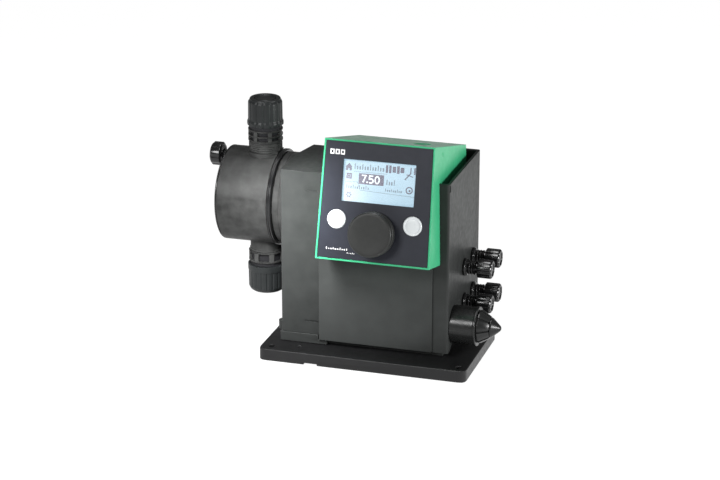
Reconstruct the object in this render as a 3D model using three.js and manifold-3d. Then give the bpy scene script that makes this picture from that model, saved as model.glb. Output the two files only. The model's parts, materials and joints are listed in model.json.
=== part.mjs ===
// Motor-driven diaphragm dosing pump, built as an assembly of separate solids.
// Millimetres. +X points to the signal sockets, -Y to the operating panel, +Z up.
// The origin is the centre of the mounting plate's four screw holes, on its underside.
import * as THREE from 'three';
import { mergeVertices } from 'three/addons/utils/BufferGeometryUtils.js';
import Module from 'manifold-3d';

const wasm = await Module();
wasm.setup();

// ---------------------------------------------------------------- driving dimensions

const GAP = 0.3;          // between pieces that rest on or pass through each other
const OVERSHOOT = 1;      // how far a cutting tool runs past the face it opens

// Sides of round shapes, by size.
const LARGE = 32;
const MEDIUM = 18;
const SMALL = 10;

const plate = {
  left: -104, right: 102, front: -62, back: 60, thickness: 12, corner: 7,
  holeX: 93.5, holeY: 52.5, holeR: 3.2,
  lockHole: { x: -67, y: -46.5, radius: 2.2, depth: 4 },
  prySlot: { from: -58, to: -45, depth: 4, height: 2 },
};

// Everything above the plate is measured up from this far above the plate's underside.
const datumZ = 1.4;
const plateTop = plate.thickness - datumZ;

const base = {
  left: -90, right: 72, front: -31, back: 57, slabLeft: -60,
  footFront: -36.2, footRight: -43, driveRight: -51.3,
};

const housing = {
  left: -88.7, right: 77.9, front: -35.8, back: 79.5, bottom: 15.5, top: 185,
  wall: 3, cornerR: 2.5,
  driveRight: -50.5,      // the drive section is left of this X
  driveBottom: 20.8,
  slopeStart: 48,         // its top slopes down to the back from this Y
  slopeEndZ: 150,
  driveRoof: 7,
};
const frontPanel = { left: -50.2, right: 62.5, bottom: 16, top: 104, thickness: 1.7 };
const louvres = { count: 6, from: -18, to: 44, z: 118, pitch: 6, height: 2.6, depth: 1 };

// The control unit stands in a recess in the housing's top and hangs down in front of it.
const recess = { left: -44, right: 75.2, front: -32.6, back: 76.3, floor: 171 };

const cube = {
  centreX: 14, halfWidthTop: 53.4, halfWidthBottom: 55.5, skin: 1.7,
  frontTop: { y: -49.4, z: 224.8 },
  frontBottom: { y: -75.4, z: 114 },
  backTop: { y: 62, z: 194.4 },
  backBottomZ: 174, hangBackY: -36.2, hangBottomZ: 105, bridgeZ: 185.4, skirtY: -32,
};
const faceRise = cube.frontTop.z - cube.frontBottom.z;
const faceRun = cube.frontTop.y - cube.frontBottom.y;
const faceLength = Math.hypot(faceRise, faceRun);
const faceTilt = Math.atan2(faceRun, faceRise);

// Places on the tilted face: x from its middle, z down from its top edge, y inward from its surface.
const display = { left: -34.4, right: 36.4, top: -18, bottom: -57.4 };
const button = { x: 36.8, z: -74.8, radius: 9.1, travel: 1.2 };
const wheel = {
  z: -85.1, radius: 21.2, height: 16.1, back: -1.6, wall: 2.2,
  capDepth: 3.6, grooveDepth: 7.2, grooveR: 19.5,
};
const board = { depth: 12.5, thickness: 1.6, holeR: 1.7 };
const encoder = { stemR: 3, collarR: 4.6, bodyHalf: 6.5, bodyFront: 5.8 };
const fingerRecess = { x: 43, y: -6, halfWidth: 7.5, halfLength: 17, depth: 1 };

// Everything in the liquid end shares this axis, which runs along X.
const pumpAxis = { y: 21.9, z: 137.6 };
const head = { left: -161, bodyLeft: -158.2, right: -107.6, radius: 46.3 };
const clampRing = { left: -107.3, right: -102.6, radius: 47.2, boreR: 30 };
const flange = { left: -102.3, radius: 44.6, boreR: 22, drainR: 3 };
const valveX = -122.6;
const neck = { topZ: 193.6, topR: 16, collarR: 18, collarZ: 184.4, bottomZ: 82.7, bottomR: 16.4 };
const valve = { spigotR: 13.2, tubeR: 8.4, boreR: 5.2, ballR: 4.7, seatR: 3.2, mouthR: 10.4, windowCount: 7 };
const frontWindow = THREE.MathUtils.degToRad(-82);
const discharge = {
  name: 'discharge', phase: frontWindow, cageR: 16.9, cageTop: 12.9, rows: [[2.8, 6.2], [7.7, 11.5]],
  nutR: 17.9, nutFrom: 16.7, nutTo: 43.1, flutes: 14, seatBelowBall: true,
};
// The suction set is built turned over, so the angle of its windows has the other sign.
const suction = {
  name: 'suction', phase: -frontWindow, cageR: 17.9, cageTop: 11, rows: [[1.6, 9.4]],
  nutR: 18.9, nutFrom: 14.9, nutTo: 42.5, flutes: 20, seatBelowBall: false,
};
const headScrew = { shankR: 2.5, headR: 4.3, tipX: -83 };
const screwCircle = 38.5;
const vent = {
  z: 175.6, knobLeft: -177.3, knobRight: -166.2, knobR: 11.6, flutes: 8,
  spindleR: 3.4, seatX: -140.8,
};

// The drive turns about an axis along Y.
const crank = { x: -15, z: pumpAxis.z, eccentricity: 2, eccentricR: 9, journalR: 4, bearingR: 8 };
const gearing = { module: 1.3, gearTeeth: 40, pinionTeeth: 12 };
const gearDistance = gearing.module * (gearing.gearTeeth + gearing.pinionTeeth) / 2;
const stroke = 2;         // each way from the middle position
const rodR = 6;
const bush = { boreR: 6.4, stemR: 11.9, flangeR: 15 };
const chassis = { left: -46, right: 18, front: 5, back: 39, bottom: 19, top: 162, wall: 3 };

const socketPlaces = [
  { y: 22, z: 84 },
  { y: 54, z: 84 },
  { y: 22, z: 48.5 },
  { y: 54, z: 48.5 },
];
const socket = {
  tail: 58, stemR: 6.1, flangeR: 8.6, neckR: 6.7, neckEnd: 90,
  noseR: 5, noseEnd: 103, boreR: 3.8,
};
const cap = { left: 92, right: 106.6, radius: 9.2, flutes: 8, boreR: 5.5, boreDepth: 12.4 };
const inlet = {
  y: -16, z: 39.6, radius: 18.2, stemR: 13.8, boreR: 8,
  rimFrom: 101.3, right: 103.4, tail: 60,
};
const gland = { left: 103.8, right: 115, radius: 16, boreR: 6.5, slots: 8 };

const looks = {
  housing: { color: 0x4c4e4f, roughness: 0.48, metalness: 0 },
  plate: { color: 0x3c3d3e, roughness: 0.55, metalness: 0 },
  green: { color: 0x50c58b, roughness: 0.4, metalness: 0 },
  fascia: { color: 0x4b4c55, roughness: 0.5, metalness: 0 },
  window: { color: 0xd8e8f2, roughness: 0.08, metalness: 0 },
  screen: { color: 0xbfe0f5, roughness: 0.4, metalness: 0 },
  board: { color: 0x2c6b45, roughness: 0.5, metalness: 0 },
  white: { color: 0xf4f4f2, roughness: 0.35, metalness: 0 },
  wheel: { color: 0x50504e, roughness: 0.5, metalness: 0 },
  cap: { color: 0x232425, roughness: 0.35, metalness: 0 },
  head: { color: 0x626464, roughness: 0.55, metalness: 0 },
  steel: { color: 0xb9bcc0, roughness: 0.3, metalness: 1 },
  brass: { color: 0xb8964e, roughness: 0.35, metalness: 1 },
  rubber: { color: 0x2a2a2c, roughness: 0.8, metalness: 0 },
  ceramic: { color: 0xf0eee6, roughness: 0.2, metalness: 0 },
  gear: { color: 0xe2ddcb, roughness: 0.5, metalness: 0 },
};

// ---------------------------------------------------------------- shape helpers

// Turns a closed geometry into a solid with merged corners and outward faces.
function toSolid(geometry) {
  const bare = geometry.index ? geometry.toNonIndexed() : geometry.clone();
  bare.deleteAttribute('normal');
  bare.deleteAttribute('uv');
  const merged = mergeVertices(bare, 1e-4);
  const points = merged.attributes.position.array;
  const corners = merged.index.array;
  const kept = [];
  let volume = 0;
  const at = (i) => new THREE.Vector3().fromArray(points, 3 * i);
  for (let i = 0; i < corners.length; i += 3) {
    const [a, b, c] = corners.slice(i, i + 3);
    if (a === b || b === c || c === a) continue;
    kept.push(a, b, c);
    volume += at(a).dot(at(b).cross(at(c)));
  }
  if (volume < 0) kept.reverse();
  const mesh = new wasm.Mesh({
    numProp: 3,
    vertProperties: new Float32Array(points),
    triVerts: new Uint32Array(kept),
  });
  return new wasm.Manifold(mesh);
}

function toGeometry(solid) {
  const mesh = solid.getMesh();
  const geometry = new THREE.BufferGeometry();
  geometry.setAttribute('position', new THREE.BufferAttribute(new Float32Array(mesh.vertProperties), 3));
  geometry.setIndex(new THREE.BufferAttribute(new Uint32Array(mesh.triVerts), 1));
  geometry.computeVertexNormals();
  return geometry;
}

const cut = (solid, ...tools) => tools.reduce((rest, tool) => rest.subtract(tool), solid);
const join = (solid, ...others) => others.reduce((whole, other) => whole.add(other), solid);

function block([x0, x1], [y0, y1], [z0, z1]) {
  const geometry = new THREE.BoxGeometry(x1 - x0, y1 - y0, z1 - z0);
  geometry.translate((x0 + x1) / 2, (y0 + y1) / 2, (z0 + z1) / 2);
  return toSolid(geometry);
}

// A profile of [radius, height] points turned about an axis through centre.
const axisTurn = {
  x: new THREE.Matrix4().makeRotationZ(-Math.PI / 2),
  y: new THREE.Matrix4(),
  z: new THREE.Matrix4().makeRotationX(Math.PI / 2),
};

function turned(axis, profile, { x = 0, y = 0, z = 0 } = {}, segments = MEDIUM) {
  const outline = profile.map(([radius, height]) => new THREE.Vector2(radius, height));
  const solidOnAxis = profile[0][0] === 0 && profile[profile.length - 1][0] === 0;
  if (!solidOnAxis) outline.push(outline[0].clone());
  const geometry = new THREE.LatheGeometry(outline, segments);
  geometry.applyMatrix4(axisTurn[axis]);
  geometry.translate(x, y, z);
  return toSolid(geometry);
}

function rod(axis, radius, from, to, centre, segments) {
  return turned(axis, [[0, from], [radius, from], [radius, to], [0, to]], centre, segments);
}

function tube(axis, outerR, innerR, from, to, centre, segments) {
  return turned(axis, [[innerR, from], [outerR, from], [outerR, to], [innerR, to]], centre, segments);
}

// A flat outline carried along an axis. Its coordinates are (y, z), (x, z) or (x, y).
const prismPlace = {
  x: new THREE.Matrix4().set(0, 0, 1, 0, 1, 0, 0, 0, 0, 1, 0, 0, 0, 0, 0, 1),
  y: new THREE.Matrix4().set(1, 0, 0, 0, 0, 0, 1, 0, 0, 1, 0, 0, 0, 0, 0, 1),
  z: new THREE.Matrix4(),
};

function prismGeometry(axis, outline, from, to) {
  const isShape = outline instanceof THREE.Shape;
  const shape = isShape ? outline : new THREE.Shape(outline.map(([a, b]) => new THREE.Vector2(a, b)));
  const options = { depth: to - from, bevelEnabled: false, curveSegments: 3 };
  const geometry = new THREE.ExtrudeGeometry(shape, options);
  geometry.translate(0, 0, from);
  geometry.applyMatrix4(prismPlace[axis]);
  return geometry;
}

const prism = (axis, outline, from, to) => toSolid(prismGeometry(axis, outline, from, to));

function roundedPolygon(corners, radius) {
  const shape = new THREE.Shape();
  const points = corners.map(([a, b]) => new THREE.Vector2(a, b));
  points.forEach((corner, i) => {
    const before = points[(i + points.length - 1) % points.length];
    const after = points[(i + 1) % points.length];
    const start = corner.clone().add(before.clone().sub(corner).setLength(radius));
    const end = corner.clone().add(after.clone().sub(corner).setLength(radius));
    if (i === 0) shape.moveTo(start.x, start.y);
    else shape.lineTo(start.x, start.y);
    shape.quadraticCurveTo(corner.x, corner.y, end.x, end.y);
  });
  shape.closePath();
  return shape;
}

const rectangle = (a0, a1, b0, b1) => [[a0, b0], [a1, b0], [a1, b1], [a0, b1]];

// A solid between two triangles, each a list of three [x, y, z] corners.
function wedge(first, second) {
  const geometry = new THREE.BufferGeometry();
  geometry.setAttribute('position', new THREE.Float32BufferAttribute([...first, ...second].flat(), 3));
  geometry.setIndex([0, 1, 2, 3, 5, 4, 0, 3, 1, 1, 3, 4, 1, 4, 2, 2, 4, 5, 2, 5, 0, 0, 5, 3]);
  return toSolid(geometry);
}

// A round outline with shallow grooves, for grips.
function flutedOutline(radius, depth, flutes) {
  const pattern = [0, 0, depth];
  const points = [];
  for (let i = 0; i < flutes * pattern.length; i += 1) {
    const angle = 2 * Math.PI * i / (flutes * pattern.length);
    const r = radius - pattern[i % pattern.length];
    points.push([r * Math.cos(angle), r * Math.sin(angle)]);
  }
  return points;
}

// A grip between two heights on an axis along Z, with chamfered ends, at the origin.
function flutedGrip(radius, depth, flutes, from, to, chamferFrom, chamferTo) {
  const body = prism('z', flutedOutline(radius, depth, flutes), from, to);
  const envelope = turned('z', [
    [0, from],
    [radius - chamferFrom, from],
    [radius, from + chamferFrom],
    [radius, to - chamferTo],
    [radius - chamferTo, to],
    [0, to],
  ], {}, flutes);
  return body.intersect(envelope);
}

function gearOutline(teeth, module, phase) {
  const pitchR = module * teeth / 2;
  const tipR = pitchR + 0.8 * module;
  const rootR = pitchR - 1.15 * module;
  const pitch = 2 * Math.PI / teeth;
  const points = [];
  for (let i = 0; i < teeth; i += 1) {
    const middle = phase + i * pitch;
    const corners = [[rootR, -0.25], [tipR, -0.09], [tipR, 0.09], [rootR, 0.25]];
    for (const [r, share] of corners) {
      const angle = middle + share * pitch;
      points.push([r * Math.cos(angle), r * Math.sin(angle)]);
    }
  }
  return points;
}

const group = new THREE.Group();
const unit = new THREE.Group();
unit.position.z = datumZ;
group.add(unit);

function add(parent, name, solid, look) {
  const mesh = new THREE.Mesh(toGeometry(solid), new THREE.MeshStandardMaterial(looks[look]));
  mesh.name = name;
  parent.add(mesh);
  return mesh;
}

// ---------------------------------------------------------------- mounting plate and housing

function buildPlate() {
  const { left, right, front, back, thickness, corner, holeX, holeY, holeR, lockHole, prySlot } = plate;
  const outline = roundedPolygon(rectangle(left, right, front, back), corner);
  const holes = [];
  for (const x of [-holeX, holeX]) {
    for (const y of [-holeY, holeY]) {
      holes.push(rod('z', holeR, -OVERSHOOT, thickness + OVERSHOOT, { x, y }, SMALL));
    }
  }
  const lock = rod('z', lockHole.radius, thickness - lockHole.depth, thickness + OVERSHOOT, lockHole, SMALL);
  const slot = block(
    [prySlot.from, prySlot.to],
    [front - OVERSHOOT, front + prySlot.depth],
    [-OVERSHOOT, prySlot.height],
  );
  add(group, 'mounting_plate', cut(prism('z', outline, 0, thickness), ...holes, lock, slot), 'plate');
}

function buildBase() {
  const { left, right, front, back, footFront, footRight, driveRight, slabLeft } = base;
  const bottom = plateTop + GAP;
  const slabTop = housing.bottom - GAP;
  const driveTop = housing.driveBottom - GAP;
  const slab = block([slabLeft, right], [front, back], [bottom, slabTop]);
  const foot = block([left, footRight], [footFront, back], [bottom, slabTop]);
  const driveFoot = block([left, driveRight], [footFront, back], [bottom, driveTop]);
  add(unit, 'housing_base', join(slab, foot, driveFoot), 'housing');
}

// Takes the drive section's top left edge off, more and more towards the back.
function edgeTaper() {
  const { left, top, slopeStart } = housing;
  const start = 15;
  const legAtSlope = 6.7;
  const end = housing.back + OVERSHOOT;
  const corner = (y) => {
    const leg = Math.max(0, legAtSlope * (y - start) / (slopeStart - start)) + OVERSHOOT;
    return [
      [left - OVERSHOOT, y, top + OVERSHOOT],
      [left + leg, y, top + OVERSHOOT],
      [left - OVERSHOOT, y, top - leg],
    ];
  };
  return wedge(corner(start), corner(end));
}

function buildShell() {
  const { left, right, front, back, bottom, top, wall, driveRight, driveBottom } = housing;
  const { slopeStart, slopeEndZ, driveRoof } = housing;
  const innerTop = recess.floor - wall;
  const clear = 5;
  const slope = [
    [slopeStart, top],
    [back + OVERSHOOT, slopeEndZ - OVERSHOOT],
    [back + OVERSHOOT, top + clear],
    [slopeStart, top + clear],
  ];
  const driveCavity = [
    [front + wall, driveBottom + wall],
    [back - wall, driveBottom + wall],
    [back - wall, slopeEndZ - wall],
    [slopeStart - wall, top - driveRoof],
    [front + wall, top - driveRoof],
  ];
  let shell = prism('z', roundedPolygon(rectangle(left, right, front, back), housing.cornerR), bottom, top);
  shell = cut(
    shell,
    block([left - clear, driveRight - 0.5], [front - clear, back + clear], [bottom - OVERSHOOT, driveBottom]),
    prism('x', slope, left - clear, driveRight),
    edgeTaper(),
    prism('x', driveCavity, left + wall, recess.left - wall),
    block([driveRight + wall, right - wall], [front + wall, back + OVERSHOOT], [bottom + wall, innerTop]),
    block([recess.left, recess.right], [recess.front, recess.back], [recess.floor, top + OVERSHOOT]),
  );

  // Openings in the side walls for the rod guide, head screws, sockets and mains inlet.
  const leftWall = [left - OVERSHOOT, left + wall + OVERSHOOT];
  const rightWall = [right - wall - OVERSHOOT, right + OVERSHOOT];
  const clearance = 0.4;
  shell = cut(
    shell,
    rod('x', bush.stemR + clearance, ...leftWall, pumpAxis, MEDIUM),
    ...screwPlaces().map((place) => rod('x', headScrew.shankR + GAP, ...leftWall, place, SMALL)),
    ...socketPlaces.map((place) => rod('x', socket.stemR + clearance, ...rightWall, place, SMALL + 2)),
    rod('x', inlet.stemR + clearance, ...rightWall, inlet, MEDIUM),
  );

  // The right wall's lower edge rises behind its front corner.
  const skirtEdge = [[-33, 15], [2, 26.5], [50, 26.5], [66, 15]];
  const skirtCut = prism('x', skirtEdge, right - wall - 0.5, right + OVERSHOOT);
  // Two finger grooves in the drive section's front, and a slot in the right wall's top corner.
  const grooveY = [front - OVERSHOOT, front + 0.8];
  const upperGroove = block([-63, -51.5], grooveY, [166, 167.2]);
  const lowerGroove = block([-65, -51.5], grooveY, [33.4, 34.6]);
  const cornerSlot = block([right - 0.8, right + OVERSHOOT], [-34.2, -31], [177, 183.5]);
  // A lug low on the left wall, flush with the wall's inside.
  const lugZ = [driveBottom + 0.4, 30];
  const lugX = left - 0.6;
  const lug = cut(
    rod('z', 4, ...lugZ, { x: lugX, y: -29.5 }, SMALL),
    block([left + wall - 0.5, left + 10], [front, 0], [0, 60]),
  );
  shell = cut(shell, skirtCut, upperGroove, lowerGroove, cornerSlot);
  add(unit, 'housing_shell', join(shell, lug), 'housing');
}

function buildCovers() {
  const { right, front, back, bottom, wall, driveRight } = housing;
  const inset = 0.4;
  const x = [driveRight + wall + GAP, right - wall - GAP];
  const z = [bottom + wall + GAP, recess.floor - wall - GAP];
  let cover = block(x, [back - wall - inset, back - inset], z);
  for (let i = 0; i < louvres.count; i += 1) {
    const low = louvres.z + i * louvres.pitch;
    const grooveY = [back - inset - louvres.depth, back];
    cover = cut(cover, block([louvres.from, louvres.to], grooveY, [low, low + louvres.height]));
  }
  add(unit, 'rear_cover', cover, 'housing');

  const { left, right: panelRight, bottom: panelBottom, top, thickness } = frontPanel;
  const outline = roundedPolygon(rectangle(left, panelRight, panelBottom, top), 1);
  add(unit, 'front_panel', prism('y', outline, front - GAP - thickness, front - GAP), 'housing');
}

// ---------------------------------------------------------------- control unit

function cubeHalfWidth(z) {
  const share = (cube.frontTop.z - z) / faceRise;
  return cube.halfWidthTop + (cube.halfWidthBottom - cube.halfWidthTop) * share;
}

// A side profile carried across the unit, following its taper and inset from its sides.
function cubePrism(profile, inset) {
  const geometry = prismGeometry('x', profile, -1, 1);
  const position = geometry.attributes.position;
  for (let i = 0; i < position.count; i += 1) {
    const halfWidth = cubeHalfWidth(position.getZ(i)) - inset;
    position.setX(i, cube.centreX + position.getX(i) * halfWidth);
  }
  return toSolid(geometry);
}

function buildCubeFrame() {
  const { frontTop, frontBottom, backTop, backBottomZ, hangBackY, hangBottomZ, bridgeZ, skirtY, skin } = cube;
  const outer = cubePrism([
    [frontBottom.y, frontBottom.z],
    [hangBackY, hangBottomZ],
    [hangBackY, bridgeZ],
    [skirtY, bridgeZ],
    [skirtY, backBottomZ],
    [backTop.y, backBottomZ],
    [backTop.y, backTop.z],
    [frontTop.y, frontTop.z],
  ], 0);

  // The inside is open through the face and through the bottom that stands in the recess.
  const along = (distance) => [Math.sin(faceTilt) * distance, Math.cos(faceTilt) * distance];
  const outward = 6;
  const [upY, upZ] = along(skin);
  const outY = -Math.cos(faceTilt) * outward;
  const outZ = Math.sin(faceTilt) * outward;
  const topSlope = (frontTop.z - backTop.z) / (backTop.y - frontTop.y);
  const inner = cubePrism([
    [frontBottom.y + upY + outY, frontBottom.z + upZ + outZ],
    [frontBottom.y + upY, frontBottom.z + upZ],
    [hangBackY - skin, hangBottomZ + skin],
    [hangBackY - skin, bridgeZ + skin],
    [skirtY + skin, bridgeZ + skin],
    [skirtY + skin, backBottomZ - OVERSHOOT],
    [backTop.y - skin, backBottomZ - OVERSHOOT],
    [backTop.y - skin, backTop.z - skin + topSlope * skin],
    [frontTop.y - upY, frontTop.z - upZ],
    [frontTop.y - upY + outY, frontTop.z - upZ + outZ],
  ], skin);

  // A short shallow mark on the right side, and an oval finger recess in the top.
  const markDepth = 0.7;
  const sideMark = cut(
    block([cube.centreX, 75], [-24, -22.6], [208, 212]),
    cubePrism(rectangle(-60, 0, 180, 226), markDepth),
  );
  add(unit, 'control_cube_frame', cut(outer, inner, sideMark, topRecess(topSlope)), 'green');
}

// A shallow oval tool that follows the top's slope.
function topRecess(slope) {
  const { x, y, halfWidth, halfLength, depth } = fingerRecess;
  const geometry = new THREE.CylinderGeometry(1, 1, 1, LARGE);
  geometry.rotateX(Math.PI / 2);
  geometry.scale(halfWidth, halfLength, 2 * depth);
  geometry.rotateX(-Math.atan(slope));
  geometry.translate(x, y, cube.frontTop.z - slope * (y - cube.frontTop.y));
  return toSolid(geometry);
}

const face = new THREE.Group();
face.position.set(cube.centreX, cube.frontTop.y, cube.frontTop.z);
face.rotation.x = -faceTilt;
unit.add(face);

function buildFace() {
  const reveal = cube.skin + GAP;
  const topHalf = cube.halfWidthTop - reveal;
  const bottomHalf = cube.halfWidthBottom - reveal;
  const fasciaFront = 0.3;
  const fasciaBack = 2.6;
  const holeY = [-OVERSHOOT, fasciaBack + OVERSHOOT];
  const outline = [
    [-bottomHalf, -faceLength + reveal],
    [bottomHalf, -faceLength + reveal],
    [topHalf, -reveal],
    [-topHalf, -reveal],
  ];
  let fascia = prism('y', outline, fasciaFront, fasciaBack);
  const windowHole = roundedPolygon(rectangle(display.left, display.right, display.bottom, display.top), 1);
  fascia = cut(
    fascia,
    prism('y', windowHole, ...holeY),
    rod('y', encoder.stemR + 0.6, ...holeY, { z: wheel.z }, MEDIUM),
    ...[-button.x, button.x].map((x) => rod('y', button.radius + GAP, ...holeY, { x, z: button.z }, MEDIUM)),
  );
  add(face, 'fascia', fascia, 'fascia');

  const lap = 2;
  const paneThickness = 1.2;
  const paneFront = fasciaBack + GAP;
  const paneBack = paneFront + paneThickness;
  const pane = rectangle(display.left - lap, display.right + lap, display.bottom - lap, display.top + lap);
  add(face, 'display_window', prism('y', roundedPolygon(pane, lap), paneFront, paneBack), 'window');

  const border = 3.5;
  const moduleFront = paneBack + GAP;
  const screenPocket = block(
    [display.left, display.right],
    [moduleFront - OVERSHOOT, moduleFront + 0.5],
    [display.bottom, display.top],
  );
  const module = block(
    [display.left - border, display.right + border],
    [moduleFront, moduleFront + 5],
    [display.bottom - border, display.top + border],
  );
  add(face, 'display_module', cut(module, screenPocket), 'screen');

  const boardX = 47;
  const boardZ = [-106, -14];
  const inset = 4;
  const boardY = [board.depth, board.depth + board.thickness];
  const boardHoles = [];
  for (const x of [inset - boardX, boardX - inset]) {
    for (const z of [boardZ[0] + inset, boardZ[1] - inset]) {
      boardHoles.push(rod('y', board.holeR, boardY[0] - OVERSHOOT, boardY[1] + OVERSHOOT, { x, z }, SMALL));
    }
  }
  add(face, 'control_board', cut(block([-boardX, boardX], boardY, boardZ), ...boardHoles), 'board');

  buildButton('start_stop', -button.x);
  buildButton('full_dose', button.x);
  buildWheel();
}

function buildButton(name, x) {
  const cap = turned('y', [
    [0, -0.9],
    [button.radius - 0.8, -0.9],
    [button.radius, -0.2],
    [button.radius, 3],
    [button.radius + 1.4, 3],
    [button.radius + 1.4, 4],
    [2.6, 4],
    [2.6, 7.6],
    [0, 7.6],
  ], { x, z: button.z }, MEDIUM);
  add(face, `${name}_button`, cap, 'white');
  const half = 3.1;
  const body = block([x - half, x + half], [9.2, board.depth - GAP], [button.z - half, button.z + half]);
  add(face, `${name}_switch`, body, 'rubber');
}

function buildWheel() {
  const { z, radius, height, capDepth, grooveDepth, grooveR, wall, back } = wheel;
  const { stemR, collarR, bodyHalf, bodyFront } = encoder;
  const webY = -height + 3.9;
  const bossR = stemR + 3;
  const knob = turned('y', [
    [0, -height],
    [radius - 1.6, -height],
    [radius - 0.4, -height + 0.5],
    [radius, -height + 1.5],
    [radius, -height + capDepth],
    [grooveR, -height + capDepth + 0.3],
    [grooveR, -height + grooveDepth],
    [radius, -height + grooveDepth + 0.3],
    [radius, back],
    [radius - wall, back],
    [radius - wall, -height + grooveDepth + 2],
    [grooveR - wall, -height + grooveDepth],
    [grooveR - wall, webY],
    [bossR, webY],
    [bossR, back],
    [stemR + 0.4, back],
    [stemR + 0.4, webY],
    [0, webY],
  ], { z }, LARGE);
  add(face, 'click_wheel', knob, 'wheel');

  const collarY = [3.2, 4.4];
  const tail = 11;
  const stem = turned('y', [
    [0, webY + 0.4],
    [stemR, webY + 0.4],
    [stemR, collarY[0]],
    [collarR, collarY[0]],
    [collarR, collarY[1]],
    [stemR, collarY[1]],
    [stemR, tail],
    [0, tail],
  ], { z }, MEDIUM);
  add(face, 'encoder_stem', stem, 'steel');

  const body = block([-bodyHalf, bodyHalf], [bodyFront, board.depth - GAP], [z - bodyHalf, z + bodyHalf]);
  const bore = rod('y', stemR + 0.5, bodyFront - OVERSHOOT, board.depth, { z }, MEDIUM);
  add(face, 'encoder_body', cut(body, bore), 'rubber');
}

// ---------------------------------------------------------------- dosing head

function screwPlaces() {
  return [45, 135, 225, 315].map((degrees) => {
    const angle = THREE.MathUtils.degToRad(degrees);
    return { y: pumpAxis.y + screwCircle * Math.cos(angle), z: pumpAxis.z + screwCircle * Math.sin(angle) };
  });
}

function buildHead() {
  const ventPlace = { y: pumpAxis.y, z: vent.z };
  const { left, bodyLeft, radius } = head;
  const coverChamfer = 1.2;
  const cover = turned('x', [
    [0, left],
    [radius - coverChamfer, left],
    [radius, left + coverChamfer],
    [radius, bodyLeft - GAP],
    [0, bodyLeft - GAP],
  ], pumpAxis, LARGE);
  const notchHalf = 1.2;
  const notchY = pumpAxis.y - radius;
  const throughCover = [left - OVERSHOOT, bodyLeft + OVERSHOOT];
  const notch = block(
    throughCover,
    [notchY - OVERSHOOT, notchY + notchHalf],
    [pumpAxis.z - notchHalf, pumpAxis.z + notchHalf],
  );
  const ventHole = rod('x', vent.spindleR + 0.8, ...throughCover, ventPlace, MEDIUM);
  add(unit, 'head_cover', cut(cover, notch, ventHole), 'cap');
  buildHeadBody(ventPlace);
  buildClampRing();
  screwPlaces().forEach(buildHeadScrew);
}

function buildHeadBody(ventPlace) {
  const { bodyLeft, right, radius } = head;
  const valveAxis = { x: valveX, y: pumpAxis.y };
  const chamber = { left: right - 7, radius: 30 };
  const diaphragmSeat = { left: right - 3, radius: 34.3 };
  let body = join(
    rod('x', radius, bodyLeft, right, pumpAxis, LARGE),
    rod('z', neck.topR, pumpAxis.z, neck.topZ, valveAxis, MEDIUM),
    rod('z', neck.collarR, pumpAxis.z, neck.collarZ, valveAxis, MEDIUM),
    rod('z', neck.bottomR, neck.bottomZ, pumpAxis.z, valveAxis, MEDIUM),
  );
  // The necks reach past the head's end, so the clamp ring's room is taken out of them.
  body = cut(
    body,
    rod('x', clampRing.radius + 0.4, right, clampRing.right, pumpAxis, LARGE),
    rod('z', valve.tubeR + 0.5, neck.bottomZ - OVERSHOOT, neck.topZ + OVERSHOOT, valveAxis, MEDIUM),
    rod('x', chamber.radius, chamber.left, right + OVERSHOOT, pumpAxis, MEDIUM),
    rod('x', diaphragmSeat.radius, diaphragmSeat.left, right + OVERSHOOT, pumpAxis, MEDIUM),
    rod('x', 6, valveX, chamber.left + OVERSHOOT, pumpAxis, SMALL),
    rod('x', vent.spindleR + 0.4, bodyLeft - OVERSHOOT, vent.seatX + 0.8, ventPlace, MEDIUM),
    rod('x', 1.4, vent.seatX, valveX, ventPlace, SMALL),
  );
  const counterbore = 6.2;
  for (const place of screwPlaces()) {
    body = cut(
      body,
      rod('x', headScrew.shankR + 0.4, bodyLeft - OVERSHOOT, right + OVERSHOOT, place, SMALL),
      rod('x', headScrew.headR + 0.5, bodyLeft - OVERSHOOT, bodyLeft + counterbore, place, SMALL),
    );
  }
  add(unit, 'dosing_head', body, 'head');
}

function buildClampRing() {
  const { left, right, radius, boreR } = clampRing;
  const edge = 1.2;
  const ring = turned('x', [
    [boreR, left],
    [radius - edge, left],
    [radius, left + edge],
    [radius, right - edge],
    [radius - edge, right],
    [boreR, right],
  ], pumpAxis, LARGE);
  const adapter = tube('x', flange.radius, flange.boreR, flange.left, housing.left - 0.4, pumpAxis, LARGE);
  const holeX = [left - OVERSHOOT, housing.left + OVERSHOOT];
  const holes = screwPlaces().map((place) => rod('x', headScrew.shankR + 0.4, ...holeX, place, SMALL));
  const drainPlace = { x: (flange.left + housing.left) / 2, y: pumpAxis.y };
  const drain = rod('z', flange.drainR, pumpAxis.z - 50, pumpAxis.z - 18, drainPlace, SMALL);
  add(unit, 'clamp_ring', cut(ring, ...holes), 'cap');
  add(unit, 'intermediate_flange', cut(adapter, ...holes, drain), 'head');
}

function buildHeadScrew(place, index) {
  const { shankR, headR, tipX } = headScrew;
  const headEnd = -156.8;
  const headHeight = 4.4;
  const drive = { radius: 2, depth: 2.4 };
  const screw = turned('x', [
    [0, headEnd + drive.depth],
    [drive.radius, headEnd + drive.depth],
    [drive.radius, headEnd],
    [headR, headEnd],
    [headR, headEnd + headHeight],
    [shankR, headEnd + headHeight],
    [shankR, tipX],
    [0, tipX],
  ], place, SMALL);
  add(unit, `head_screw_${index + 1}`, screw, 'steel');
}

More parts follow.
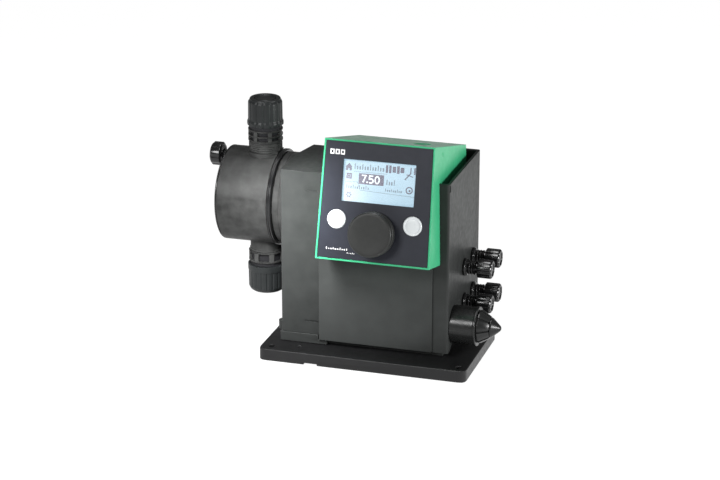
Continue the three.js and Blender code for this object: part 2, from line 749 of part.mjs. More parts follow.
function buildVent() {
  const place = { y: pumpAxis.y, z: vent.z };
  const { knobLeft, knobRight, knobR, flutes, spindleR, seatX } = vent;
  const spindleLeft = knobLeft + 3;
  const tip = { radius: 1, length: 3.2 };
  const spindle = turned('x', [
    [0, spindleLeft],
    [spindleR, spindleLeft],
    [spindleR, seatX - tip.length],
    [tip.radius, seatX],
    [0, seatX],
  ], place, MEDIUM);
  add(unit, 'vent_spindle', spindle, 'cap');

  const length = knobRight - knobLeft;
  const grip = flutedGrip(knobR, 0.7, flutes, 0, length, 1.6, 0.8);
  const bore = rod('z', spindleR + GAP, 3 - GAP, length + OVERSHOOT, {}, MEDIUM);
  const knob = add(unit, 'vent_knob', cut(grip, bore), 'cap');
  knob.position.set(knobLeft, place.y, place.z);
  knob.rotation.y = Math.PI / 2;
}

// Tools for the windows in a valve cage. One window faces the angle phase.
function ringOfWindows(rows, cageR, phase) {
  const width = 11;
  const depth = 6;
  const tools = [];
  for (let i = 0; i < valve.windowCount; i += 1) {
    for (const [from, to] of rows) {
      const geometry = new THREE.BoxGeometry(depth, width, to - from);
      geometry.translate(cageR - 0.6, 0, (from + to) / 2);
      geometry.rotateZ(phase + 2 * Math.PI * i / valve.windowCount);
      tools.push(toSolid(geometry));
    }
  }
  return tools;
}

// A valve set, built along +Z from the end of its neck. The seat lies on the side the liquid comes from.
function buildValve(holder, shape) {
  const { name, phase, cageR, cageTop, rows, nutR, nutFrom, nutTo, flutes, seatBelowBall } = shape;
  const { tubeR, boreR, ballR, seatR, spigotR, mouthR } = valve;
  const tubeEnd = -22;
  const spigotTop = cageTop + 15.5;
  const seatZ = seatBelowBall ? -18 : -10;
  const ledge = seatBelowBall
    ? [[boreR, spigotTop], [boreR, seatZ], [seatR, seatZ], [seatR, tubeEnd]]
    : [[seatR, spigotTop], [seatR, seatZ], [boreR, seatZ], [boreR, tubeEnd]];
  const cage = turned('z', [
    [tubeR, tubeEnd],
    [tubeR, GAP],
    [cageR - 0.6, GAP],
    [cageR, 1],
    [cageR, cageTop],
    [spigotR, cageTop],
    [spigotR, spigotTop],
    ...ledge,
  ], {}, LARGE - 4);
  add(holder, `${name}_valve_cage`, cut(cage, ...ringOfWindows(rows, cageR, phase)), 'head');

  const seatedOffset = Math.sqrt(ballR * ballR - seatR * seatR) + GAP;
  const ball = new THREE.SphereGeometry(ballR, SMALL, 7);
  ball.translate(0, 0, seatBelowBall ? seatZ + seatedOffset : seatZ - seatedOffset);
  add(holder, `${name}_valve_ball`, toSolid(ball), 'ceramic');

  const shoulder = spigotTop + 3.4;
  const grip = flutedGrip(nutR, 0.6, flutes, nutFrom, nutTo, 0.6, 2);
  const thread = rod('z', spigotR + 0.5, nutFrom - OVERSHOOT, shoulder, {}, MEDIUM);
  const mouth = rod('z', mouthR, shoulder - OVERSHOOT, nutTo + OVERSHOOT, {}, MEDIUM);
  add(holder, `${name}_union_nut`, cut(grip, thread, mouth), 'cap');

  const plugR = mouthR - 0.4;
  const plugEnd = nutTo - 0.2;
  const plug = turned('z', [
    [0, spigotTop + GAP],
    [spigotR, spigotTop + GAP],
    [spigotR, shoulder - GAP],
    [plugR, shoulder - GAP],
    [plugR, plugEnd - 0.8],
    [plugR - 1, plugEnd],
    [0, plugEnd],
  ], {}, MEDIUM);
  add(holder, `${name}_blanking_plug`, plug, 'cap');
}

function buildValves() {
  const top = new THREE.Group();
  top.position.set(valveX, pumpAxis.y, neck.topZ);
  unit.add(top);
  buildValve(top, discharge);

  const bottom = new THREE.Group();
  bottom.position.set(valveX, pumpAxis.y, neck.bottomZ);
  bottom.rotation.x = Math.PI;
  unit.add(bottom);
  buildValve(bottom, suction);
}

// ---------------------------------------------------------------- drive

// The ring is clamped in the head. The core moves with the drive rod, whose end its boss holds.
function buildDiaphragm() {
  const face = head.right - 3.4;
  const back = head.right - 0.2;
  const ring = { outerR: 34, innerR: 22 };
  const core = { radius: 21.5, chamfer: 1.2, bossR: 8, bossRight: head.right + 6, boreR: 3.3 };
  const ringX = [face + 0.7, head.right - 0.4];
  add(unit, 'diaphragm', tube('x', ring.outerR, ring.innerR, ...ringX, pumpAxis, MEDIUM), 'rubber');
  add(unit, 'diaphragm_core', turned('x', [
    [0, face],
    [core.radius - core.chamfer, face],
    [core.radius, face + core.chamfer],
    [core.radius, back],
    [core.bossR, back],
    [core.bossR, core.bossRight],
    [core.boreR, core.bossRight],
    [core.boreR, back],
    [0, back],
  ], pumpAxis, MEDIUM), 'rubber');
}

function buildRod() {
  const reach = crank.eccentricR + crank.eccentricity + 0.7;
  const slot = { halfX: reach + stroke, halfZ: reach };
  const rim = 3.6;
  const halfY = 3.5;
  const yokeLeft = crank.x - slot.halfX - rim;
  const spigotR = 3;
  const spigotLeft = head.right + 0.4;
  const shoulder = head.right + 6.3;
  const shaft = turned('x', [
    [0, spigotLeft],
    [spigotR, spigotLeft],
    [spigotR, shoulder],
    [rodR, shoulder],
    [rodR, yokeLeft + 1],
    [0, yokeLeft + 1],
  ], pumpAxis, MEDIUM);
  const yoke = block(
    [yokeLeft, crank.x + slot.halfX + rim],
    [pumpAxis.y - halfY, pumpAxis.y + halfY],
    [crank.z - slot.halfZ - rim, crank.z + slot.halfZ + rim],
  );
  const opening = block(
    [crank.x - slot.halfX, crank.x + slot.halfX],
    [pumpAxis.y - halfY - OVERSHOOT, pumpAxis.y + halfY + OVERSHOOT],
    [crank.z - slot.halfZ, crank.z + slot.halfZ],
  );
  add(unit, 'drive_rod', cut(join(shaft, yoke), opening), 'steel');

  const bushLeft = housing.left + 0.2;
  const flangeLeft = housing.left + housing.wall + GAP;
  const bushRight = housing.left + 7;
  add(unit, 'rod_guide_bush', turned('x', [
    [bush.boreR, bushLeft],
    [bush.stemR, bushLeft],
    [bush.stemR, flangeLeft],
    [bush.flangeR, flangeLeft],
    [bush.flangeR, bushRight],
    [bush.boreR, bushRight],
  ], pumpAxis, MEDIUM), 'brass');
}

function buildGearTrain() {
  const axis = { x: crank.x, z: crank.z };
  const motorAxis = { x: crank.x, z: crank.z - gearDistance };
  const eccentricAxis = { x: crank.x, z: crank.z - crank.eccentricity };
  const { journalR, bearingR, eccentricR } = crank;
  const shaft = join(
    rod('y', journalR, 0.5, 48, axis, MEDIUM),
    rod('y', eccentricR, pumpAxis.y - 4, pumpAxis.y + 4, eccentricAxis, MEDIUM),
  );
  const boreR = journalR + GAP;
  add(unit, 'eccentric_shaft', shaft, 'steel');
  add(unit, 'front_bearing', tube('y', bearingR, boreR, 4, 9, axis, MEDIUM), 'steel');
  add(unit, 'rear_bearing', tube('y', bearingR, boreR, 35, 40, axis, MEDIUM), 'steel');

  // A tooth of the gear points down at the motor, between two teeth of the pinion.
  const gearTooth = -Math.PI / 2;
  const pinionGap = Math.PI / 2 + Math.PI / gearing.pinionTeeth;
  const placed = (outline, { x, z }) => outline.map(([a, b]) => [a + x, b + z]);
  const gearTeeth = placed(gearOutline(gearing.gearTeeth, gearing.module, gearTooth), axis);
  const gearY = [41.5, 46.5];
  const gearBore = rod('y', boreR, gearY[0] - OVERSHOOT, gearY[1] + OVERSHOOT, axis, MEDIUM);
  add(unit, 'reduction_gear', cut(prism('y', gearTeeth, ...gearY), gearBore), 'gear');

  const pinionTeeth = placed(gearOutline(gearing.pinionTeeth, gearing.module, pinionGap), motorAxis);
  const motorShaftR = 2.5;
  const motorShaft = rod('y', motorShaftR, 26, 48, motorAxis, SMALL);
  add(unit, 'motor_pinion', join(prism('y', pinionTeeth, 41, 47), motorShaft), 'brass');

  const half = 17.4;
  const motorY = [8.6, 35.6];
  const motorOutline = placed(rectangle(-half, half, -half, half), motorAxis);
  const motor = prism('y', roundedPolygon(motorOutline, 3), ...motorY);
  const motorBore = rod('y', motorShaftR + 0.4, 25, motorY[1] + OVERSHOOT, motorAxis, SMALL);
  add(unit, 'stepper_motor', cut(motor, motorBore), 'steel');

  const { left, right, front, back, bottom, top, wall } = chassis;
  const throughX = [left - OVERSHOOT, right + OVERSHOOT];
  const throughY = [front - OVERSHOOT, back + OVERSHOOT];
  const frame = cut(
    block([left, right], [front, back], [bottom, top]),
    block(throughX, [front + wall, back - wall], [bottom + wall, top + OVERSHOOT]),
    block([left + 8, right - 8], throughY, [30, 76]),
    rod('y', bearingR + GAP, ...throughY, axis, MEDIUM),
    rod('y', 2 * motorShaftR, 30, back + OVERSHOOT, motorAxis, SMALL),
  );
  add(unit, 'drive_chassis', frame, 'steel');
}

// ---------------------------------------------------------------- electrical connections

function buildSocket(place, index) {
  const { tail, stemR, flangeR, neckR, neckEnd, noseR, noseEnd, boreR } = socket;
  const wallX = housing.right + GAP;
  const flangeThickness = 2;
  const body = turned('x', [
    [0, tail],
    [stemR, tail],
    [stemR, wallX],
    [flangeR, wallX],
    [flangeR, wallX + flangeThickness],
    [neckR, wallX + flangeThickness],
    [neckR, neckEnd],
    [noseR, neckEnd],
    [noseR, noseEnd],
    [boreR, noseEnd],
    [boreR, neckEnd + 2],
    [0, neckEnd + 2],
  ], place, SMALL + 2);
  add(unit, `signal_socket_${index + 1}`, body, 'housing');

  const grip = flutedGrip(cap.radius, 0.7, cap.flutes, 0, cap.right - cap.left, 0.5, 1.2);
  const capBore = rod('z', cap.boreR, -OVERSHOOT, cap.boreDepth, {}, MEDIUM);
  const cover = add(unit, `signal_cap_${index + 1}`, cut(grip, capBore), 'cap');
  cover.position.set(cap.left, place.y, place.z);
  cover.rotation.y = Math.PI / 2;
}

function buildInlet() {
  const { radius, stemR, boreR, rimFrom, right, tail } = inlet;
  const wallX = housing.right + GAP;
  const rimR = radius + 0.8;
  add(unit, 'mains_inlet_body', turned('x', [
    [boreR, tail],
    [stemR, tail],
    [stemR, wallX],
    [radius, wallX],
    [radius, rimFrom],
    [rimR, rimFrom],
    [rimR, right],
    [boreR, right],
  ], inlet, MEDIUM + 6), 'housing');

  const smallR = 10.4;
  let nut = turned('x', [
    [gland.boreR, gland.left],
    [gland.radius - 0.8, gland.left],
    [gland.radius, gland.left + 1.6],
    [smallR, gland.right],
    [gland.boreR, gland.right],
  ], inlet, SMALL);
  const core = rod('x', smallR - 1.6, 100, 120, inlet, SMALL);
  for (let i = 0; i < gland.slots / 2; i += 1) {
    const geometry = new THREE.BoxGeometry(9, 2.4, 60);
    geometry.rotateX(2 * Math.PI * i / gland.slots);
    geometry.translate(gland.right - 2.6, inlet.y, inlet.z);
    nut = cut(nut, toSolid(geometry).subtract(core));
  }
  add(unit, 'mains_gland_nut', nut, 'head');

  const plugLeft = 106;
  const shoulder = gland.right + 0.4;
  add(unit, 'mains_blanking_plug', turned('x', [
    [0, plugLeft],
    [gland.boreR - 0.4, plugLeft],
    [gland.boreR - 0.4, shoulder],
    [9.6, shoulder],
    [9, shoulder + 2],
    [2, 124.6],
    [0, 125.2],
  ], inlet, MEDIUM), 'cap');
}

function buildConnectionBoard() {
  const x = [56, 56 + board.thickness];
  const y = [-30, 70];
  const z = [24, 112];
  const inset = 4;
  const holes = [];
  for (const holeY of [y[0] + inset, y[1] - inset]) {
    for (const holeZ of [z[0] + inset, z[1] - inset]) {
      holes.push(rod('x', board.holeR, x[0] - OVERSHOOT, x[1] + OVERSHOOT, { y: holeY, z: holeZ }, SMALL));
    }
  }
  add(unit, 'connection_board', cut(block(x, y, z), ...holes), 'board');
}

buildPlate();
buildBase();
buildShell();
buildCovers();
buildCubeFrame();
buildFace();
buildHead();
buildVent();
buildValves();
buildDiaphragm();
buildRod();
buildGearTrain();
socketPlaces.forEach(buildSocket);
buildInlet();
buildConnectionBoard();

export default group;
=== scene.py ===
import json
import math

import bmesh
import bpy
from mathutils import Matrix, Vector


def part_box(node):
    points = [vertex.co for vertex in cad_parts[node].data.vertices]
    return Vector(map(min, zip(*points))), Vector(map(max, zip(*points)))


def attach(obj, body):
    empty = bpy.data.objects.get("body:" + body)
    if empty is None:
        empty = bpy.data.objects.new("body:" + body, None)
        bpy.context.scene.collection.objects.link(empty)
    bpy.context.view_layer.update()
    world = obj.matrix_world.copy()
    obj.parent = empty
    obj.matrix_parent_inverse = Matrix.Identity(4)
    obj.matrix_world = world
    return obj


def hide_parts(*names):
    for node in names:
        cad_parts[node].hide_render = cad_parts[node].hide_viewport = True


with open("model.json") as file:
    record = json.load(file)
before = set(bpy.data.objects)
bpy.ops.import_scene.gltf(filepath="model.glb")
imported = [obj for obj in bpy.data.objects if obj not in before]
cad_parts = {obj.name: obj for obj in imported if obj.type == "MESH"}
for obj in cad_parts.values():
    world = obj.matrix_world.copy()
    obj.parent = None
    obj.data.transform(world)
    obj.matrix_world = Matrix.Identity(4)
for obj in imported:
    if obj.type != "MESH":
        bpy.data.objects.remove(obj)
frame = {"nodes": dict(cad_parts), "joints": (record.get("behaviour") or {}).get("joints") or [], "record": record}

# Looks for the diaphragm dosing pump. Lengths are in metres; MM turns millimetres into them.
MM = 0.001
WORLD_STRENGTH = 0.16
KEY_WATTS, SIDE_WATTS, GLOSS_WATTS, ACCENT_WATTS = 13, 18, 12, 0.26
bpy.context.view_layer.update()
TURN = 2 * math.pi
X_AXIS, Z_AXIS = Vector((1, 0, 0)), Vector((0, 0, 1))
SMOOTH_ANGLE = math.radians(32)
ROUND_STEPS = 96
GRAIN = 0.5 * MM             # the width of the fine bumps on moulded plastic
BUMP_DEPTH = 0.1 * MM


# ---------------------------------------------------------------- camera, lights and floor

def make_camera():
    azimuth, elevation = math.radians(16.95), math.radians(19.64)
    distance = 2.408
    target = Vector((-20.2, 0, 110)) * MM
    back = Vector((
        math.sin(azimuth) * math.cos(elevation),
        -math.cos(azimuth) * math.cos(elevation),
        math.sin(elevation),
    ))
    data = bpy.data.cameras.new("camera")
    data.lens = 125
    data.sensor_width = 36
    data.clip_end = 50
    camera = bpy.data.objects.new("camera", data)
    bpy.context.scene.collection.objects.link(camera)
    camera.location = target + back * distance
    camera.rotation_euler = (-back).to_track_quat("-Z", "Y").to_euler()
    bpy.context.scene.camera = camera


def area_light(name, place, aim, size, power):
    data = bpy.data.lights.new(name, "AREA")
    data.shape = "RECTANGLE"
    data.size, data.size_y = size
    data.energy = power
    light = bpy.data.objects.new(name, data)
    bpy.context.scene.collection.objects.link(light)
    light.location = place
    light.rotation_euler = (Vector(aim) - Vector(place)).to_track_quat("-Z", "Y").to_euler()
    light.visible_camera = False
    return light


def make_stage():
    scene = bpy.context.scene
    scene.view_settings.view_transform = "Standard"
    world = bpy.data.worlds.new("studio")
    scene.world = world
    world.use_nodes = True
    world.node_tree.nodes["Background"].inputs["Color"].default_value = (1, 1, 1, 1)
    world.node_tree.nodes["Background"].inputs["Strength"].default_value = WORLD_STRENGTH

    middle = (-0.02, 0, 0.11)
    area_light("key", (-0.5, -1.25, 0.85), middle, (0.5, 0.4), KEY_WATTS)
    area_light("right_fill", (1.5, -0.35, 0.36), middle, (0.3, 0.3), SIDE_WATTS)

    # A strip above that only shows as highlights, and a small light close to the drive section.
    overhead = area_light("overhead_gloss", (-0.1, 0, 1.3), middle, (1, 0.35), GLOSS_WATTS)
    overhead.visible_diffuse = False
    drive_face = (-0.08, -0.036, 0.125)
    accent = area_light("drive_accent", (-0.085, -0.15, 0.24), drive_face, (0.07, 0.07), ACCENT_WATTS)
    accent.data.spread = math.radians(70)
    accent.visible_glossy = False

    bpy.ops.mesh.primitive_plane_add(size=12)
    floor = bpy.context.object
    floor.name = "floor"
    floor.data.materials.append(floor_material())


# ---------------------------------------------------------------- materials

def new_material(name):
    material = bpy.data.materials.new(name)
    material.use_nodes = True
    nodes, links = material.node_tree.nodes, material.node_tree.links
    return material, nodes, links, nodes["Principled BSDF"]


def noise(nodes, links, size, detail=3, stretch=None):
    """A noise texture whose features are about size metres across."""
    coordinates = nodes.new("ShaderNodeTexCoord")
    texture = nodes.new("ShaderNodeTexNoise")
    texture.inputs["Scale"].default_value = 1 / size
    texture.inputs["Detail"].default_value = detail
    if stretch:
        mapping = nodes.new("ShaderNodeMapping")
        mapping.inputs["Scale"].default_value = stretch
        links.new(coordinates.outputs["Object"], mapping.inputs["Vector"])
        links.new(mapping.outputs["Vector"], texture.inputs["Vector"])
    else:
        links.new(coordinates.outputs["Object"], texture.inputs["Vector"])
    return texture.outputs["Fac"]


def ranged(nodes, links, value, low, high, from_low=0.3, from_high=0.7):
    node = nodes.new("ShaderNodeMapRange")
    node.inputs["From Min"].default_value = from_low
    node.inputs["From Max"].default_value = from_high
    node.inputs["To Min"].default_value = low
    node.inputs["To Max"].default_value = high
    links.new(value, node.inputs["Value"])
    return node.outputs["Result"]


def mixed(nodes, links, factor, first, second):
    node = nodes.new("ShaderNodeMix")
    node.data_type = "RGBA"
    links.new(factor, node.inputs["Factor"])
    for socket, value in (("A", first), ("B", second)):
        target = [s for s in node.inputs if s.name == socket and s.type == "RGBA"][0]
        if isinstance(value, tuple):
            target.default_value = (*value, 1)
        else:
            links.new(value, target)
    return [s for s in node.outputs if s.type == "RGBA"][0]


def shade(colour, factor):
    return tuple(min(1, channel * factor) for channel in colour)


def plastic(name, colour, roughness=0.45, spread=0.12, bump=0.06, patch=14 * MM, edge_highlight=0.25, specular=0.25,
            roughness_spread=0.06):
    """Moulded plastic: fine grain, slow colour drift, uneven gloss and a painted highlight that lightens the
    convex edges.
    """
    material, nodes, links, shader = new_material(name)
    drift = ranged(nodes, links, noise(nodes, links, patch, detail=4), 0, 1)
    base = mixed(nodes, links, drift, shade(colour, 1 - spread), shade(colour, 1 + spread))
    # Painted highlight: convex edges, found by pointiness, are mixed towards a much lighter copy of the colour.
    if edge_highlight:
        geometry = nodes.new("ShaderNodeNewGeometry")
        edge = ranged(nodes, links, geometry.outputs["Pointiness"], 0, edge_highlight, 0.53, 0.62)
        base = mixed(nodes, links, edge, base, shade(colour, 2.6))
    links.new(base, shader.inputs["Base Color"])
    gloss = noise(nodes, links, patch / 3, detail=5)
    rough = ranged(nodes, links, gloss, roughness - roughness_spread, roughness + roughness_spread)
    links.new(rough, shader.inputs["Roughness"])
    shader.inputs["Specular IOR Level"].default_value = specular
    if bump:
        height = nodes.new("ShaderNodeBump")
        height.inputs["Strength"].default_value = bump
        height.inputs["Distance"].default_value = BUMP_DEPTH
        links.new(noise(nodes, links, GRAIN, detail=2), height.inputs["Height"])
        links.new(height.outputs["Normal"], shader.inputs["Normal"])
    return material


def metal(name, colour, stretch=(1, 1, 30)):
    """Machined metal with fine turned or brushed lines."""
    material, nodes, links, shader = new_material(name)
    lines = noise(nodes, links, 6 * MM, detail=6, stretch=stretch)
    base = mixed(nodes, links, ranged(nodes, links, lines, 0, 1), shade(colour, 0.82), shade(colour, 1.1))
    links.new(base, shader.inputs["Base Color"])
    links.new(ranged(nodes, links, lines, 0.2, 0.42), shader.inputs["Roughness"])
    shader.inputs["Metallic"].default_value = 1
    height = nodes.new("ShaderNodeBump")
    height.inputs["Strength"].default_value = 0.08
    height.inputs["Distance"].default_value = BUMP_DEPTH
    links.new(lines, height.inputs["Height"])
    links.new(height.outputs["Normal"], shader.inputs["Normal"])
    return material


def floor_material():
    material, nodes, links, shader = new_material("studio_floor")
    tone = noise(nodes, links, 0.4, detail=2)
    links.new(mixed(nodes, links, tone, (0.14, 0.14, 0.14), (0.16, 0.16, 0.16)), shader.inputs["Base Color"])
    shader.inputs["Roughness"].default_value = 0.9
    shader.inputs["Emission Color"].default_value = (1, 1, 1, 1)
    shader.inputs["Emission Strength"].default_value = 0.95
    return material


def screen_material():
    """The lit liquid crystal: pale blue and slightly uneven."""
    material, nodes, links, shader = new_material("lcd_backlight")
    drift = ranged(nodes, links, noise(nodes, links, 30 * MM, detail=2), 0, 1)
    links.new(mixed(nodes, links, drift, (0.17, 0.2, 0.22), (0.21, 0.24, 0.26)), shader.inputs["Base Color"])
    glow_tint = mixed(nodes, links, drift, (0.44, 0.74, 0.94), (0.5, 0.79, 0.98))
    links.new(glow_tint, shader.inputs["Emission Color"])
    shader.inputs["Emission Strength"].default_value = 0.66
    shader.inputs["Roughness"].default_value = 0.5
    return material


def ink_material(name, colour, glow=0.0):
    material, nodes, links, shader = new_material(name)
    tone = noise(nodes, links, 2 * MM, detail=3)
    links.new(mixed(nodes, links, tone, shade(colour, 0.8), shade(colour, 1.15)), shader.inputs["Base Color"])
    shader.inputs["Roughness"].default_value = 0.5
    shader.inputs["Emission Color"].default_value = (*colour, 1)
    shader.inputs["Emission Strength"].default_value = glow
    return material


def glass_material():
    material, nodes, links, shader = new_material("window_pane")
    tone = noise(nodes, links, 20 * MM, detail=2)
    links.new(mixed(nodes, links, tone, (0.80, 0.9, 0.97), (0.88, 0.95, 1.0)), shader.inputs["Base Color"])
    links.new(ranged(nodes, links, tone, 0.04, 0.08), shader.inputs["Roughness"])
    shader.inputs["Alpha"].default_value = 0.12
    return material


def circuit_board_material():
    """Green solder mask with darker tracks."""
    material, nodes, links, shader = new_material("solder_mask")
    coordinates = nodes.new("ShaderNodeTexCoord")
    tracks = nodes.new("ShaderNodeTexBrick")
    tracks.inputs["Scale"].default_value = 160
    tracks.inputs["Mortar Size"].default_value = 0.06
    links.new(coordinates.outputs["Object"], tracks.inputs["Vector"])
    mask = mixed(nodes, links, tracks.outputs["Fac"], (0.02, 0.12, 0.05), (0.04, 0.24, 0.1))
    links.new(mask, shader.inputs["Base Color"])
    shader.inputs["Roughness"].default_value = 0.35
    return material


def make_materials():
    return {
        "housing": plastic("housing_plastic", (0.0310, 0.0328, 0.0321),
                           roughness=0.38, edge_highlight=0.3, specular=0.06),
        "plate": plastic("plate_plastic", (0.012, 0.012, 0.0125), roughness=0.36, edge_highlight=0.6),
        "green_shell": plastic("green_plastic", (0.045, 0.40, 0.19),
                               roughness=0.34, spread=0.05, edge_highlight=0, bump=0.03),
        "fascia": plastic("fascia_overlay", (0.019, 0.021, 0.029),
                          roughness=0.5, spread=0.08, bump=0.1, edge_highlight=0),
        "button": plastic("button_plastic", (0.62, 0.65, 0.66),
                          roughness=0.3, spread=0.03, edge_highlight=0, bump=0.02, specular=0.4),
        "wheel": plastic("wheel_soft_touch", (0.026, 0.027, 0.026),
                         roughness=0.4, spread=0.1, edge_highlight=0.5, bump=0.12),
        "head_plastic": plastic("mottled_plastic", (0.029, 0.0295, 0.029), roughness=0.44, spread=0.42,
                                patch=11 * MM, specular=0.15, edge_highlight=0.35, bump=0.1),
        "cap_plastic": plastic("black_gloss_plastic", (0.008, 0.0082, 0.0085),
                               roughness=0.2, edge_highlight=0.5, bump=0.03, specular=0.5),
        "nut_plastic": plastic("union_nut_plastic", (0.017, 0.019, 0.0195),
                               roughness=0.4, edge_highlight=0.3, bump=0.04, roughness_spread=0.02),
        "switch": plastic("switch_plastic", (0.02, 0.02, 0.02), roughness=0.4),
        "rubber": plastic("moulded_rubber", (0.018, 0.018, 0.02), roughness=0.75, bump=0.2, edge_highlight=0.1),
        "ball": plastic("polished_ceramic", (0.8, 0.78, 0.72),
                        roughness=0.12, spread=0.03, bump=0, edge_highlight=0),
        "gear_plastic": plastic("natural_acetal", (0.62, 0.58, 0.47), roughness=0.45, spread=0.05),
        "steel": metal("machined_steel", (0.55, 0.56, 0.58)),
        "brass": metal("turned_brass", (0.62, 0.43, 0.17), stretch=(30, 1, 1)),
        "board": circuit_board_material(),
        "screen": screen_material(),
        "window": glass_material(),
        "glyph": ink_material("lcd_segment", (0.075, 0.04, 0.1)),
        "faint_glyph": ink_material("lcd_faint_segment", (0.13, 0.17, 0.22)),
        "print": ink_material("white_print", (0.75, 0.75, 0.75)),
        "digit": ink_material("lcd_clear_segment", (0.8, 0.88, 0.95), 0.5),
        "inlet": plastic("inlet_plastic", (0.014, 0.0145, 0.0145),
                         roughness=0.28, edge_highlight=0.6, specular=0.3),
    }


# ---------------------------------------------------------------- mesh helpers

def finish_piece(bm, name, material, body, node=None, merge=True):
    """Turns a bmesh into a piece that rides on a body and may stand for a CAD node."""
    if merge:
        bmesh.ops.remove_doubles(bm, verts=bm.verts, dist=0.002 * MM)
    bmesh.ops.recalc_face_normals(bm, faces=bm.faces)
    mesh = bpy.data.meshes.new(name)
    bm.to_mesh(mesh)
    bm.free()
    mesh.shade_smooth()
    mesh.set_sharp_from_angle(angle=SMOOTH_ANGLE)
    mesh.materials.append(material)
    piece = bpy.data.objects.new(name, mesh)
    bpy.context.scene.collection.objects.link(piece)
    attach(piece, body)
    if node:
        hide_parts(node)
    return piece


def placed(axis, centre):
    """Carries local +Z to an axis, with the local origin at centre."""
    return Matrix.Translation(centre) @ Z_AXIS.rotation_difference(Vector(axis)).to_matrix().to_4x4()


def bridge(bm, low, high):
    """Faces between two rings, either of which may be a single point on the axis."""
    count = max(len(low), len(high))
    for i in range(count):
        j = (i + 1) % count
        if len(low) == 1:
            bm.faces.new((low[0], high[i], high[j]))
        elif len(high) == 1:
            bm.faces.new((low[i], low[j], high[0]))
        else:
            bm.faces.new((low[i], low[j], high[j], high[i]))


def softened(profile, radius, closed=False, steps=3):
    """Rounds the corners of a profile of (radius, height) points."""
    points = [Vector(p) for p in profile]
    result = []
    count = len(points)
    for i, corner in enumerate(points):
        if not closed and i in (0, count - 1):
            result.append(corner)
            continue
        before = points[i - 1] - corner
        after = points[(i + 1) % count] - corner
        reach = min(radius, before.length * 0.45, after.length * 0.45)
        start = corner + before.normalized() * reach
        end = corner + after.normalized() * reach
        for k in range(steps + 1):
            t = k / steps
            result.append(start * (1 - t) ** 2 + corner * 2 * t * (1 - t) + end * t ** 2)
    return [(p.x, p.y) for p in result]


def revolve(bm, profile, place, steps=ROUND_STEPS, closed=False, shape=None):
    """Turns a (radius, height) profile about local Z. shape(radius, height, angle) may change a radius."""
    rings = []
    for radius, height in profile:
        if radius < 1e-7:
            rings.append([bm.verts.new(place @ Vector((0, 0, height)))])
            continue
        ring = []
        for i in range(steps):
            angle = TURN * i / steps
            r = shape(radius, height, angle) if shape else radius
            ring.append(bm.verts.new(place @ Vector((r * math.cos(angle), r * math.sin(angle), height))))
        rings.append(ring)
    follow = rings[1:] + (rings[:1] if closed else [])
    for low, high in zip(rings, follow):
        if len(low) > 1 or len(high) > 1:
            bridge(bm, low, high)


def sector(bm, outline, place, start, end, steps):
    """Sweeps a closed (radius, height) outline from one angle to another and closes both ends."""
    rings = []
    for i in range(steps + 1):
        angle = start + (end - start) * i / steps
        rings.append([
            bm.verts.new(place @ Vector((r * math.cos(angle), r * math.sin(angle), h)))
            for r, h in outline
        ])
    for low, high in zip(rings, rings[1:]):
        bridge(bm, low, high)
    bm.faces.new(rings[0])
    bm.faces.new(reversed(rings[-1]))


def grip(outer, depth, count, narrowness=3):
    """A radius rule that cuts rounded grooves into the outer skin of a turned piece."""
    def rule(radius, height, angle):
        if radius < outer - 2.4 * depth:
            return radius
        wave = 0.5 + 0.5 * math.cos(count * angle)
        return radius - depth * wave ** narrowness
    return rule


def turned_piece(name, profile, place, material, body, node, soft=0.4 * MM, closed=False, shape=None,
                 steps=ROUND_STEPS):
    """A piece made by turning a profile whose corners are rounded by soft."""
    bm = bmesh.new()
    revolve(bm, softened(profile, soft, closed), place, steps, closed, shape)
    return finish_piece(bm, name, material, body, node)


def prism(bm, outline, place, low, high):
    """A flat outline of (x, y) points made solid between two heights."""
    bottom = [bm.verts.new(place @ Vector((x, y, low))) for x, y in outline]
    top = [bm.verts.new(place @ Vector((x, y, high))) for x, y in outline]
    bridge(bm, bottom, top)
    bm.faces.new(reversed(bottom))
    bm.faces.new(top)


def softened_copy(node, name, material, body, width):
    """The CAD node's shape as a new piece with rounded edges."""
    bm = bmesh.new()
    bm.from_mesh(frame["nodes"][node].data)
    bmesh.ops.remove_doubles(bm, verts=bm.verts, dist=0.005 * MM)
    bmesh.ops.dissolve_limit(bm, angle_limit=math.radians(1), verts=bm.verts, edges=bm.edges)
    piece = finish_piece(bm, name, material, body, node, merge=False)
    bevel = piece.modifiers.new("rounded_edges", "BEVEL")
    bevel.width = width
    bevel.segments = 2
    bevel.limit_method = "ANGLE"
    bevel.angle_limit = math.radians(35)
    weighted = piece.modifiers.new("flat_faces", "WEIGHTED_NORMAL")
    weighted.keep_sharp = True
    weighted.weight = 100
    graph = bpy.context.evaluated_depsgraph_get()
    rounded = bpy.data.meshes.new_from_object(piece.evaluated_get(graph))
    piece.modifiers.clear()
    piece.data = rounded
    return piece


def box_of(node):
    low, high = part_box(node)
    return low, high, (low + high) / 2


MATERIALS = make_materials()


# ---------------------------------------------------------------- housing

def build_housing():
    for node, name, width in (
        ("mounting_plate", "plate_body", 0.7 * MM),
        ("housing_base", "foot_body", 0.6 * MM),
        ("housing_shell", "housing_body", 0.6 * MM),
        ("rear_cover", "rear_cover_body", 0.4 * MM),
        ("front_panel", "front_cover_body", 0.35 * MM),
    ):
        slot = "plate" if node == "mounting_plate" else "housing"
        softened_copy(node, name, MATERIALS[slot], "pump", width)


# ---------------------------------------------------------------- liquid end

HEAD_LOW, HEAD_HIGH, _ = box_of("dosing_head")
HEAD_RADIUS = (HEAD_HIGH.y - HEAD_LOW.y) / 2
PUMP_AXIS = Vector((0, (HEAD_LOW.y + HEAD_HIGH.y) / 2, box_of("head_cover")[2].z))
VALVE_X = box_of("discharge_valve_cage")[2].x
CAGE_WINDOWS = 7
WINDOW_HALF_WIDTH = 5.5 * MM
FRONT_WINDOW = math.radians(-82)        # the direction that one window of each valve cage faces


